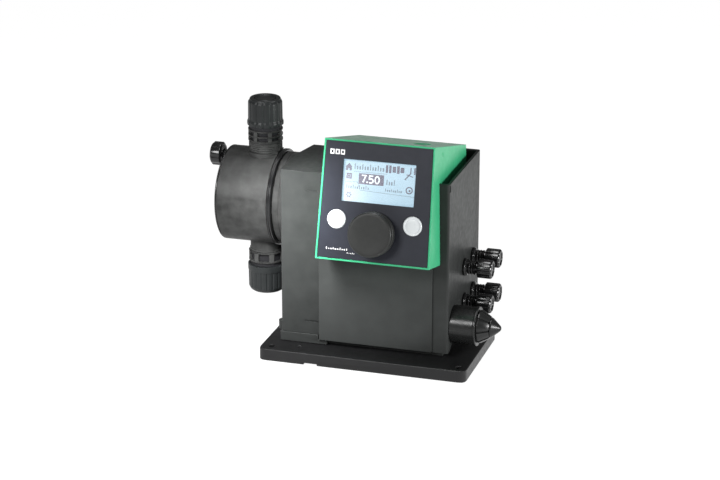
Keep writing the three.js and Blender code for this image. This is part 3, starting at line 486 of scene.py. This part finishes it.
def build_head():
    material = MATERIALS["head_plastic"]
    along_x = placed(X_AXIS, PUMP_AXIS)
    softened_copy("dosing_head", "head_barrel", material, "pump", 0.3 * MM)

    # Moulded rings on the upper neck, and the lip round the end of the lower one.
    base = Vector((VALVE_X, PUMP_AXIS.y, PUMP_AXIS.z))
    end = HEAD_HIGH.z - PUMP_AXIS.z
    inner, outer = 15.7 * MM, 16.35 * MM
    ribs = 4
    first = HEAD_RADIUS + 1.6 * MM
    pitch = (end - first - 0.6 * MM) / ribs
    bm = bmesh.new()
    for i in range(ribs):
        low = first + i * pitch
        ring = [(inner, low), (outer, low + 0.2 * MM), (outer, low + pitch * 0.55),
                (inner, low + pitch * 0.7)]
        revolve(bm, ring, placed(Z_AXIS, base), ROUND_STEPS, True)
    finish_piece(bm, "discharge_neck", material, "pump", "dosing_head", merge=False)

    end = PUMP_AXIS.z - HEAD_LOW.z
    bm = bmesh.new()
    inner, outer = 16.1 * MM, 16.7 * MM
    ring = [(inner, end - 2 * MM), (outer, end - 1.8 * MM), (outer, end - 0.4 * MM), (inner, end - 0.2 * MM)]
    revolve(bm, ring, placed(-Z_AXIS, base), ROUND_STEPS, True)
    finish_piece(bm, "suction_neck", material, "pump", "dosing_head", merge=False)

    low, high, _ = box_of("head_cover")
    turned_piece("head_cover_disc", [
        (0, low.x + 0.5 * MM), (30 * MM, low.x + 0.5 * MM), (31 * MM, low.x), (36 * MM, low.x),
        (36.6 * MM, low.x + 0.6 * MM), (38 * MM, low.x + 0.6 * MM), (38.6 * MM, low.x), (43.8 * MM, low.x),
        (HEAD_RADIUS, low.x + 1.5 * MM), (HEAD_RADIUS, high.x), (0, high.x),
    ], along_x, MATERIALS["cap_plastic"], "pump", "head_cover", soft=0.3 * MM, steps=128)

    low, high, _ = box_of("clamp_ring")
    radius = (high.y - low.y) / 2
    groove = radius - 0.6 * MM
    bore = 30 * MM
    turned_piece("clamp_ring_band", [
        (bore, low.x), (radius - 1.3 * MM, low.x), (radius, low.x + 0.9 * MM), (radius, low.x + 1.7 * MM),
        (groove, low.x + 2.1 * MM), (groove, high.x - 1.9 * MM), (radius, high.x - 1.6 * MM),
        (radius, high.x - 0.9 * MM), (radius - 1.3 * MM, high.x), (bore, high.x),
    ], along_x, MATERIALS["cap_plastic"], "pump", "clamp_ring", closed=True, steps=128)

    low, high, _ = box_of("intermediate_flange")
    radius = (high.y - low.y) / 2
    groove = radius - 0.4 * MM
    bore = 22 * MM
    turned_piece("flange_body", [
        (bore, low.x), (radius - 0.8 * MM, low.x), (radius, low.x + 0.8 * MM), (radius, low.x + 6 * MM),
        (groove, low.x + 6.3 * MM), (groove, low.x + 7 * MM), (radius, low.x + 7.3 * MM),
        (radius, high.x), (bore, high.x),
    ], along_x, material, "pump", "intermediate_flange", closed=True, steps=128)


def build_vent():
    """The vent knob, with eight rounded grip grooves and a recessed end."""
    low, high, centre = box_of("vent_knob")
    radius = (high.z - low.z) / 2
    length = high.x - low.x
    recess = 5.2 * MM
    place = placed(X_AXIS, Vector((low.x, centre.y, centre.z)))
    turned_piece("vent_grip", [
        (0, 0.8 * MM), (6 * MM, 0.8 * MM), (6.6 * MM, 0), (radius - 1.6 * MM, 0), (radius, 1.6 * MM),
        (radius, length - 1.2 * MM), (radius - 1.2 * MM, length), (recess, length),
        (recess, length - 2 * MM), (0, length - 2 * MM),
    ], place, MATERIALS["cap_plastic"], "vent_grip", "vent_knob",
        shape=grip(radius, 0.7 * MM, 8), steps=144)


def window_angle(place, facing):
    """The angle about a piece's own axis that points in a direction given in the pump's frame."""
    local = place.to_3x3().inverted() @ Vector((math.cos(facing), math.sin(facing), 0))
    return math.atan2(local.y, local.x)


def build_cage(which, place, radius, rows, cage_top):
    """A ring of windows between solid rings, on a dark core. Each row gives its low and high edge in mm."""
    inner = radius - 3 * MM
    start = 0.3 * MM
    bm = bmesh.new()
    edges = [start + 0.7 * MM] + [edge * MM for row in rows for edge in row] + [cage_top]
    for low, high in zip(edges[::2], edges[1::2]):
        ring = [(inner, low), (radius, low), (radius, high), (inner, high)]
        revolve(bm, softened(ring, 0.25 * MM, True), place, ROUND_STEPS, True)
    lip, lip_end = radius - 1 * MM, start + 1 * MM
    revolve(bm, [(inner, start), (lip, start), (lip, lip_end), (inner, lip_end)], place, ROUND_STEPS, True)
    first = window_angle(place, FRONT_WINDOW) + TURN / CAGE_WINDOWS / 2
    half = TURN / CAGE_WINDOWS / 2 - math.asin(WINDOW_HALF_WIDTH / radius)
    bar, overlap = radius - 0.15 * MM, 0.2 * MM
    for i in range(CAGE_WINDOWS):
        middle = first + TURN * i / CAGE_WINDOWS
        for row in rows:
            low, high = row[0] * MM - overlap, row[1] * MM + overlap
            outline = [(inner, low), (bar, low), (bar, high), (inner, high)]
            sector(bm, outline, place, middle - half, middle + half, 4)
    finish_piece(bm, f"{which}_cage_body", MATERIALS["head_plastic"], "pump", f"{which}_valve_cage",
                 merge=False)

    # The dark core, the tube that carries the ball and its seat, and the spigot inside the nut.
    core, core_from, core_to = inner + 0.3 * MM, start + 0.2 * MM, cage_top - 0.2 * MM
    shoulder, shoulder_to = radius - 1.5 * MM, cage_top + 3.4 * MM
    spigot, spigot_end = 13.2 * MM, cage_top + 15.5 * MM
    tube, tube_end = 8.4 * MM, -22 * MM
    bore, seat = 5.2 * MM, 3.2 * MM
    if which == "discharge":
        inside = [(bore, spigot_end), (bore, -18 * MM), (seat, -18 * MM), (seat, tube_end)]
    else:
        inside = [(seat, spigot_end), (seat, -10 * MM), (bore, -10 * MM), (bore, tube_end)]
    bm = bmesh.new()
    revolve(bm, [
        (tube, tube_end), (tube, core_from), (core, core_from), (core, core_to), (shoulder, core_to),
        (shoulder, shoulder_to), (spigot, shoulder_to), (spigot, spigot_end),
    ] + inside, place, 64, True)
    finish_piece(bm, f"{which}_cage_core", MATERIALS["rubber"], "pump", f"{which}_valve_cage",
                 merge=False)


def span_from(node, start, sign):
    """Where a node begins and ends along Z, measured from a height towards sign."""
    low, high, _ = box_of(node)
    near = low.z - start if sign > 0 else start - high.z
    return near, near + high.z - low.z


def build_valve(which, sign):
    """One valve with its union nut and plug: sign 1 stands above the head, -1 hangs below it."""
    cage_low, cage_high, centre = box_of(f"{which}_valve_cage")
    nut_low, nut_high, _ = box_of(f"{which}_union_nut")
    neck_end = HEAD_HIGH.z if sign > 0 else HEAD_LOW.z
    place = placed(Z_AXIS * sign, Vector((centre.x, centre.y, neck_end)))
    nut_from, nut_to = span_from(f"{which}_union_nut", neck_end, sign)
    # The rows of windows, in mm from the neck's end, and how far before the nut the cage stops.
    rows, gap = ([(2.8, 6.2), (7.7, 11.5)], 3.8) if sign > 0 else ([(1.6, 9.4)], 3.9)
    build_cage(which, place, (cage_high.y - cage_low.y) / 2, rows, nut_from - gap * MM)

    # The union nut: a flared lower band, a fluted body and a rounded shoulder round an open mouth.
    outer = max(nut_high.x - nut_low.x, nut_high.y - nut_low.y) / 2
    mouth, bore = 10.4 * MM, 13.7 * MM
    if sign > 0:
        skin = [(outer, nut_from), (outer, nut_from + 3.2 * MM), (outer - 0.9 * MM, nut_from + 5.5 * MM),
                (outer - 1.1 * MM, nut_to - 3.6 * MM), (outer - 2.6 * MM, nut_to - 1.2 * MM),
                (15 * MM, nut_to - 0.5 * MM)]
        flutes, depth = 14, 0.8 * MM
    else:
        skin = [(outer, nut_from), (outer, nut_from + 6 * MM), (outer - 0.4 * MM, nut_from + 6.5 * MM),
                (outer - 0.6 * MM, nut_to - 4.5 * MM), (outer - 2 * MM, nut_to - 1.6 * MM),
                (15.2 * MM, nut_to - 0.3 * MM)]
        flutes, depth = 20, 0.55 * MM
    profile = [(bore, nut_from)] + skin + [
        (14.6 * MM, nut_to), (mouth + 0.8 * MM, nut_to), (mouth, nut_to - 0.6 * MM),
        (mouth, nut_to - 11 * MM), (bore, nut_to - 11.4 * MM),
    ]
    cut = grip(outer, depth, flutes, 6)
    plain_to = nut_from + 6.2 * MM               # the lower nut has no flutes before this height

    def fluted(radius, height, angle):
        if sign < 0 and height < plain_to:
            return radius
        return cut(radius, height, angle)

    turned_piece(f"{which}_nut_body", profile, place, MATERIALS["nut_plastic"], f"{which}_nut",
                 f"{which}_union_nut", soft=0.5 * MM, closed=True, shape=fluted,
                 steps=12 * flutes)

    plug_from, plug_to = span_from(f"{which}_blanking_plug", neck_end, sign)
    flange, stem = 13.1 * MM, 10 * MM
    turned_piece(f"{which}_plug_body", [
        (0, plug_from), (flange, plug_from), (flange, plug_from + 2.6 * MM), (stem, plug_from + 2.8 * MM),
        (stem, plug_to - 0.5 * MM), (stem - 0.5 * MM, plug_to), (stem - 1 * MM, plug_to),
        (stem - 1.4 * MM, plug_to - 0.8 * MM), (0, plug_to - 0.8 * MM),
    ], place, MATERIALS["nut_plastic"], f"{which}_plug", f"{which}_blanking_plug",
        soft=0.2 * MM, steps=64)


# ---------------------------------------------------------------- control unit

WHEEL_JOINT = [j for j in frame["joints"] if j["name"] == "click_wheel_turn"][0]
FACE_OUT = Vector(WHEEL_JOINT["axis"]).normalized()
FACE_UP = X_AXIS.cross(-FACE_OUT).normalized()
FACE_ORIGIN = Vector(WHEEL_JOINT["pos_m"])       # on the face, at the wheel's axis
FACE = Matrix.Translation(FACE_ORIGIN) @ Matrix((
    (X_AXIS.x, FACE_UP.x, FACE_OUT.x),
    (X_AXIS.y, FACE_UP.y, FACE_OUT.y),
    (X_AXIS.z, FACE_UP.z, FACE_OUT.z),
)).to_4x4()
DISPLAY = {"left": -34.4 * MM, "right": 36.4 * MM, "top": 67.1 * MM, "bottom": 27.7 * MM}
SCREEN_DEPTH = -4.9 * MM
FASCIA_FRONT = -0.3 * MM
BUTTON_X, BUTTON_Y = 36.8 * MM, 10.3 * MM


def on_face(x, y):
    """The place of a point on the control face, x to the right and y up from the wheel's axis."""
    return FACE @ Matrix.Translation(Vector((x, y, 0)))


def build_wheel():
    """A wide ring behind a groove, and the cap in front of it."""
    radius, height = 21.2 * MM, 16.1 * MM
    groove, skirt, hub = 19.5 * MM, 19 * MM, 5 * MM
    turned_piece("wheel_cap", [
        (0, height - 0.5 * MM), (12 * MM, height - 0.25 * MM), (radius - 3 * MM, height),
        (radius - 1.4 * MM, height - 0.1 * MM), (radius - 0.3 * MM, height - 0.9 * MM),
        (radius, height - 1.8 * MM), (radius - 0.1 * MM, 12.7 * MM), (radius - 0.6 * MM, 12.4 * MM),
        (groove, 12.3 * MM), (groove, 9.2 * MM), (radius - 0.5 * MM, 8.9 * MM), (radius, 8.3 * MM),
        (radius, 2.6 * MM), (radius - 0.8 * MM, 1.6 * MM), (skirt, 1.6 * MM), (skirt, 8 * MM),
        (hub, 8 * MM), (hub, 12 * MM), (0, 12 * MM),
    ], on_face(0, 0), MATERIALS["wheel"], "wheel", "click_wheel", soft=0.4 * MM, steps=128)


def build_buttons():
    """Two round push buttons, each with a shallow ring pressed into its face."""
    radius, groove = 9.1 * MM, 6.7 * MM
    flange = radius + 1.2 * MM
    for body, side in (("start_stop", -1), ("full_dose", 1)):
        turned_piece(f"{body}_cap", [
            (0, 0.75 * MM), (4 * MM, 0.7 * MM), (groove - 0.4 * MM, 0.5 * MM), (groove, 0.28 * MM),
            (groove + 0.4 * MM, 0.5 * MM), (radius - 0.8 * MM, 0.9 * MM), (radius, 0.1 * MM),
            (radius, -3 * MM), (flange, -3 * MM), (flange, -4 * MM), (0, -4 * MM),
        ], on_face(side * BUTTON_X, BUTTON_Y), MATERIALS["button"], body, f"{body}_button",
            soft=0.3 * MM)


def ribbon(bm, points, width, low, high, closed=False):
    """A line of constant width along points on the face, made solid between two depths."""
    points = [Vector(p) for p in points]
    count = len(points)
    sides = ([], [])
    for i, point in enumerate(points):
        before = points[i - 1] if closed or i else point
        after = points[(i + 1) % count] if closed or i < count - 1 else point
        first = (point - before).normalized() if before != point else (after - point).normalized()
        second = (after - point).normalized() if after != point else first
        along = (first + second).normalized()
        normal = Vector((-along.y, along.x))
        reach = width / 2 / max(0.4, normal.dot(Vector((-first.y, first.x))))
        sides[0].append(point + normal * reach)
        sides[1].append(point - normal * reach)
    if not closed:
        prism(bm, sides[1] + sides[0][::-1], FACE, low, high)
        return
    for i in range(count):
        j = (i + 1) % count
        prism(bm, (sides[0][i], sides[1][i], sides[1][j], sides[0][j]), FACE, low, high)


def on_screen(u, v):
    """A point of the face from shares of the screen's width and height."""
    return Vector((
        DISPLAY["left"] + u * (DISPLAY["right"] - DISPLAY["left"]),
        DISPLAY["top"] - v * (DISPLAY["top"] - DISPLAY["bottom"]),
    ))


def block(bm, centre, width, height, low, high):
    """A rectangle on the face, made solid between two depths."""
    x, y = width / 2, height / 2
    outline = [centre + Vector(corner) for corner in ((-x, -y), (x, -y), (x, y), (-x, y))]
    prism(bm, outline, FACE, low, high)


def ring_of(centre, radius, count):
    angles = [TURN * i / count for i in range(count)]
    return [centre + radius * Vector((math.cos(angle), math.sin(angle))) for angle in angles]


def dashes(bm, start, length, height, count, low, high):
    """A row of plain upright strokes of uneven size, where a line of small print would stand."""
    pitch = length / count
    for i in range(count):
        tall = height * (0.62 + 0.38 * ((i * 5) % 3 == 0))
        centre = start + Vector(((i + 0.5) * pitch, (tall - height) / 2))
        block(bm, centre, pitch * (0.34 + 0.12 * (i % 3)), tall, low, high)


def digit_stroke(name, size):
    """The stroke of a digit in a box one unit wide and size units tall, and whether it closes."""
    if name == "7":
        return [(0, size), (1, size), (0.38, 0)], False
    if name == "5":
        return [
            (0.95, size), (0.1, size), (0.05, size * 0.56), (0.6, size * 0.6), (0.97, size * 0.42),
            (0.97, size * 0.2), (0.6, 0), (0.05, size * 0.04),
        ], False
    angles = [TURN * i / 14 for i in range(14)]
    return [(0.5 + 0.48 * math.cos(angle), size / 2 * (1 + math.sin(angle))) for angle in angles], True


def build_screen_contents():
    low, high = SCREEN_DEPTH, SCREEN_DEPTH + 0.12 * MM
    dark = bmesh.new()

    # House and small square icons, a gear ring, a status ring and the block behind the digits.
    house = on_screen(0.07, 0.19)
    prism(dark, [house + Vector(p) * MM for p in ((-3.3, 0.2), (0, 3.6), (3.3, 0.2))], FACE, low, high)
    block(dark, house + Vector((0, -0.5)) * MM, 5.4 * MM, 1.8 * MM, low, high)
    for x in (-1.75, 1.75):
        block(dark, house + Vector((x, -2.2)) * MM, 2.1 * MM, 2.2 * MM, low, high)
    square = on_screen(0.08, 0.4)
    corners = [square + Vector(p) * MM for p in ((-2, -2), (2, -2), (2, 2), (-2, 2))]
    ribbon(dark, corners, 1.3 * MM, low, high, True)
    block(dark, square, 2 * MM, 2 * MM, low, high)
    gear = on_screen(0.09, 0.85)
    ribbon(dark, ring_of(gear, 1.7 * MM, 12), 0.8 * MM, low, high, True)
    for corner in ring_of(gear, 2.5 * MM, 6):
        block(dark, corner, 0.9 * MM, 0.9 * MM, low, high)
    status = on_screen(0.91, 0.62)
    ribbon(dark, ring_of(status, 2.9 * MM, 20), 1.1 * MM, low, high, True)
    block(dark, status + Vector((0.4, -0.4)) * MM, 1.8 * MM, 1.8 * MM, low, high)
    block(dark, on_screen(0.385, 0.445), 24.4 * MM, 10 * MM, low, high)

    # Status icons at the upper right.
    icons = ((0.59, 2.2, 7.2), (0.635, 2.2, 7.2), (0.69, 3.2, 5.6), (0.745, 2.6, 7), (0.8, 3.6, 5),
             (0.97, 1.4, 6.6))
    for u, wide, tall in icons:
        block(dark, on_screen(u, 0.16), wide * MM, tall * MM, low, high)
    ribbon(dark, [on_screen(0.84, 0.38), on_screen(0.915, 0.22), on_screen(0.915, 0.08)], 1 * MM, low, high)
    ribbon(dark, [on_screen(0.86, 0.25), on_screen(0.95, 0.3)], 0.8 * MM, low, high)
    piece = finish_piece(dark, "screen_symbols", MATERIALS["glyph"], "pump", merge=False)

    # Rows of plain strokes in place of lines of text, and thin rules between them.
    faint = bmesh.new()
    dashes(faint, on_screen(0.135, 0.165), 30 * MM, 5.2 * MM, 12, low, high)
    dashes(faint, on_screen(0.585, 0.475), 9.4 * MM, 5 * MM, 4, low, high)
    dashes(faint, on_screen(0.04, 0.65), 23 * MM, 3.6 * MM, 11, low, high)
    dashes(faint, on_screen(0.575, 0.66), 17 * MM, 2.8 * MM, 9, low, high)
    rule = [on_screen(0.03, 0.545), on_screen(0.2, 0.53), on_screen(0.24, 0.72), on_screen(0.985, 0.77)]
    ribbon(faint, rule, 0.35 * MM, low, high)
    ribbon(faint, [on_screen(0.14, 0.285), on_screen(0.6, 0.285)], 0.3 * MM, low, high)
    piece = finish_piece(faint, "screen_fine_strokes", MATERIALS["faint_glyph"], "pump", merge=False)

    light = bmesh.new()
    unit = 4.1 * MM
    tall = 1.6
    left = on_screen(0.385, 0.445) + Vector((-9.4 * MM, -tall * unit / 2))
    for name, shift in (("7", 0), ("5", 1.78), ("0", 3.2)):
        points, closed = digit_stroke(name, tall)
        path = [left + Vector((x + shift, y)) * unit for x, y in points]
        ribbon(light, path, 1.25 * MM, high, high + 0.1 * MM, closed)
    block(light, left + Vector((1.36 * unit, 0.1 * unit)), 1.4 * MM, 1.4 * MM, high, high + 0.1 * MM)
    piece = finish_piece(light, "screen_digits", MATERIALS["digit"], "pump", merge=False)


def build_face_print():
    """Generic marks: three blocks above the display and a dashed line below the left button."""
    low, high = FASCIA_FRONT, FASCIA_FRONT + 0.1 * MM
    bm = bmesh.new()
    top = Vector((-45.1, 73.2)) * MM
    for i in range(3):
        centre = top + Vector((i * 5.1, 0)) * MM
        ribbon(bm, [centre + Vector(p) * MM for p in ((-1.5, -1.8), (1.4, -1.8), (1.4, 1.8), (-1.5, 1.8))],
               1.1 * MM, low, high, True)
    dashes(bm, Vector((-46, -17.6)) * MM, 22 * MM, 1.9 * MM, 10, low, high)
    dashes(bm, Vector((-25, -20.6)) * MM, 8 * MM, 1.2 * MM, 5, low, high)
    piece = finish_piece(bm, "face_marks", MATERIALS["print"], "pump", merge=False)


def build_display():
    """The dark frame of the display well, between the fascia and the screen."""
    bm = bmesh.new()
    margin = 0.9 * MM
    left, right = DISPLAY["left"] - margin, DISPLAY["right"] + margin
    top, bottom = DISPLAY["top"] + margin, DISPLAY["bottom"] - margin
    corners = [(left, bottom), (right, bottom), (right, top), (left, top)]
    ribbon(bm, corners, 1.6 * MM, -4.35 * MM, -4.15 * MM, True)
    piece = finish_piece(bm, "display_frame", MATERIALS["switch"], "pump", merge=False)


def build_cube():
    softened_copy("control_cube_frame", "green_casing", MATERIALS["green_shell"], "pump",
                  0.45 * MM)
    softened_copy("fascia", "fascia_plate", MATERIALS["fascia"], "pump", 0.2 * MM)
    build_display()
    build_screen_contents()
    build_face_print()


# ---------------------------------------------------------------- sockets and inlet

def build_sockets():
    """Four signal sockets with ribbed necks, each under its own screw cap."""
    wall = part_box("housing_shell")[1].x
    shank, flange, collar = 6.1 * MM, 8.6 * MM, 7.9 * MM
    neck, nose, bore = 6.7 * MM, 5 * MM, 3.8 * MM
    neck_to, bore_from = 90 * MM, 96 * MM
    for i in range(1, 5):
        low, high, centre = box_of(f"signal_socket_{i}")
        place = placed(X_AXIS, Vector((0, centre.y, centre.z)))
        profile = [
            (0, low.x), (shank, low.x), (shank, wall + 0.3 * MM), (flange, wall + 0.3 * MM),
            (flange, wall + 2.4 * MM), (collar, wall + 2.8 * MM), (collar, wall + 3.6 * MM),
        ]
        for step in range(3):
            rib = wall + (4.2 + 2.6 * step) * MM
            profile += [(shank, rib), (shank, rib + 0.7 * MM), (neck, rib + 1 * MM), (neck, rib + 2.2 * MM)]
        profile += [(neck, neck_to), (nose, neck_to + 0.4 * MM), (nose, high.x), (bore, high.x),
                    (bore, bore_from), (0, bore_from)]
        turned_piece(f"socket_{i}_body", profile, place, MATERIALS["cap_plastic"], "pump",
                     f"signal_socket_{i}", soft=0.25 * MM, steps=64)

        low, high, _ = box_of(f"signal_cap_{i}")
        radius = (high.z - low.z) / 2
        hole = 5.5 * MM
        turned_piece(f"socket_{i}_cap", [
            (hole, low.x), (radius - 0.6 * MM, low.x), (radius, low.x + 0.7 * MM),
            (radius, high.x - 1.5 * MM), (radius - 1.2 * MM, high.x), (6.6 * MM, high.x),
            (6.1 * MM, high.x - 1.1 * MM), (0, high.x - 1.1 * MM), (0, high.x - 3 * MM),
            (hole, high.x - 3 * MM),
        ], place, MATERIALS["cap_plastic"], f"cap_{i}", f"signal_cap_{i}", soft=0.35 * MM,
            shape=grip(radius, 0.75 * MM, 8), steps=128)


def build_inlet():
    """The mains inlet: a socket body, a petalled gland nut and the plug that closes it."""
    low, high, centre = box_of("mains_inlet_body")
    rim = (high.y - low.y) / 2
    radius = rim - 0.8 * MM
    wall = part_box("housing_shell")[1].x
    place = placed(X_AXIS, Vector((0, centre.y, centre.z)))
    shank, hole = 13.8 * MM, 8 * MM
    turned_piece("inlet_body", [
        (hole, low.x), (shank, low.x), (shank, wall + 0.3 * MM), (radius, wall + 0.3 * MM),
        (radius, high.x - 2.4 * MM), (rim, high.x - 2 * MM), (rim, high.x - 0.4 * MM),
        (rim - 0.6 * MM, high.x), (hole, high.x),
    ], place, MATERIALS["inlet"], "pump", "mains_inlet_body", soft=0.5 * MM, closed=True,
        steps=128)

    low, high, _ = box_of("mains_gland_nut")
    outer = (high.z - low.z) / 2
    tip, hole, mouth = 10.4 * MM, 6.5 * MM, 7.4 * MM
    bm = bmesh.new()
    revolve(bm, softened([
        (hole, low.x), (outer - 1.6 * MM, low.x), (outer - 1.6 * MM, low.x + 1.2 * MM),
        (tip - 1.4 * MM, high.x - 1 * MM), (hole, high.x - 1 * MM),
    ], 0.3 * MM, True), place, ROUND_STEPS, True)
    petal = [
        (outer - 2.4 * MM, low.x), (outer - 0.5 * MM, low.x), (outer, low.x + 0.6 * MM),
        (outer, low.x + 2.2 * MM), (tip + 0.5 * MM, high.x - 0.7 * MM), (tip - 0.3 * MM, high.x),
        (mouth, high.x), (mouth, high.x - 2 * MM),
    ]
    petals = 8
    half = TURN / petals * 0.37
    for i in range(petals):
        middle = TURN * (i + 0.5) / petals
        sector(bm, petal, place, middle - half, middle + half, 5)
    finish_piece(bm, "gland_nut_body", MATERIALS["inlet"], "pump", "mains_gland_nut",
                 merge=False)

    low, high, _ = box_of("mains_blanking_plug")
    stem, flange, flange_from = 6.1 * MM, 9.6 * MM, 115.4 * MM
    turned_piece("gland_plug_body", [
        (0, low.x), (stem, low.x), (stem, flange_from), (flange, flange_from),
        (flange - 0.2 * MM, flange_from + 1.2 * MM), (2.6 * MM, high.x - 1 * MM),
        (1.4 * MM, high.x - 0.2 * MM), (0, high.x),
    ], place, MATERIALS["inlet"], "pump", "mains_blanking_plug", soft=0.5 * MM, steps=64)


# ---------------------------------------------------------------- the rest

def give_cad_materials():
    """Every CAD node that stays gets the material of its record slot."""
    for part in frame["record"]["subparts"]:
        node = frame["nodes"][part["node"]]
        node.data.materials.clear()
        node.data.materials.append(MATERIALS[part["material_slot"]])


make_camera()
make_stage()
give_cad_materials()
build_housing()
build_head()
build_vent()
build_valve("discharge", 1)
build_valve("suction", -1)
build_cube()
build_wheel()
build_buttons()
build_sockets()
build_inlet()
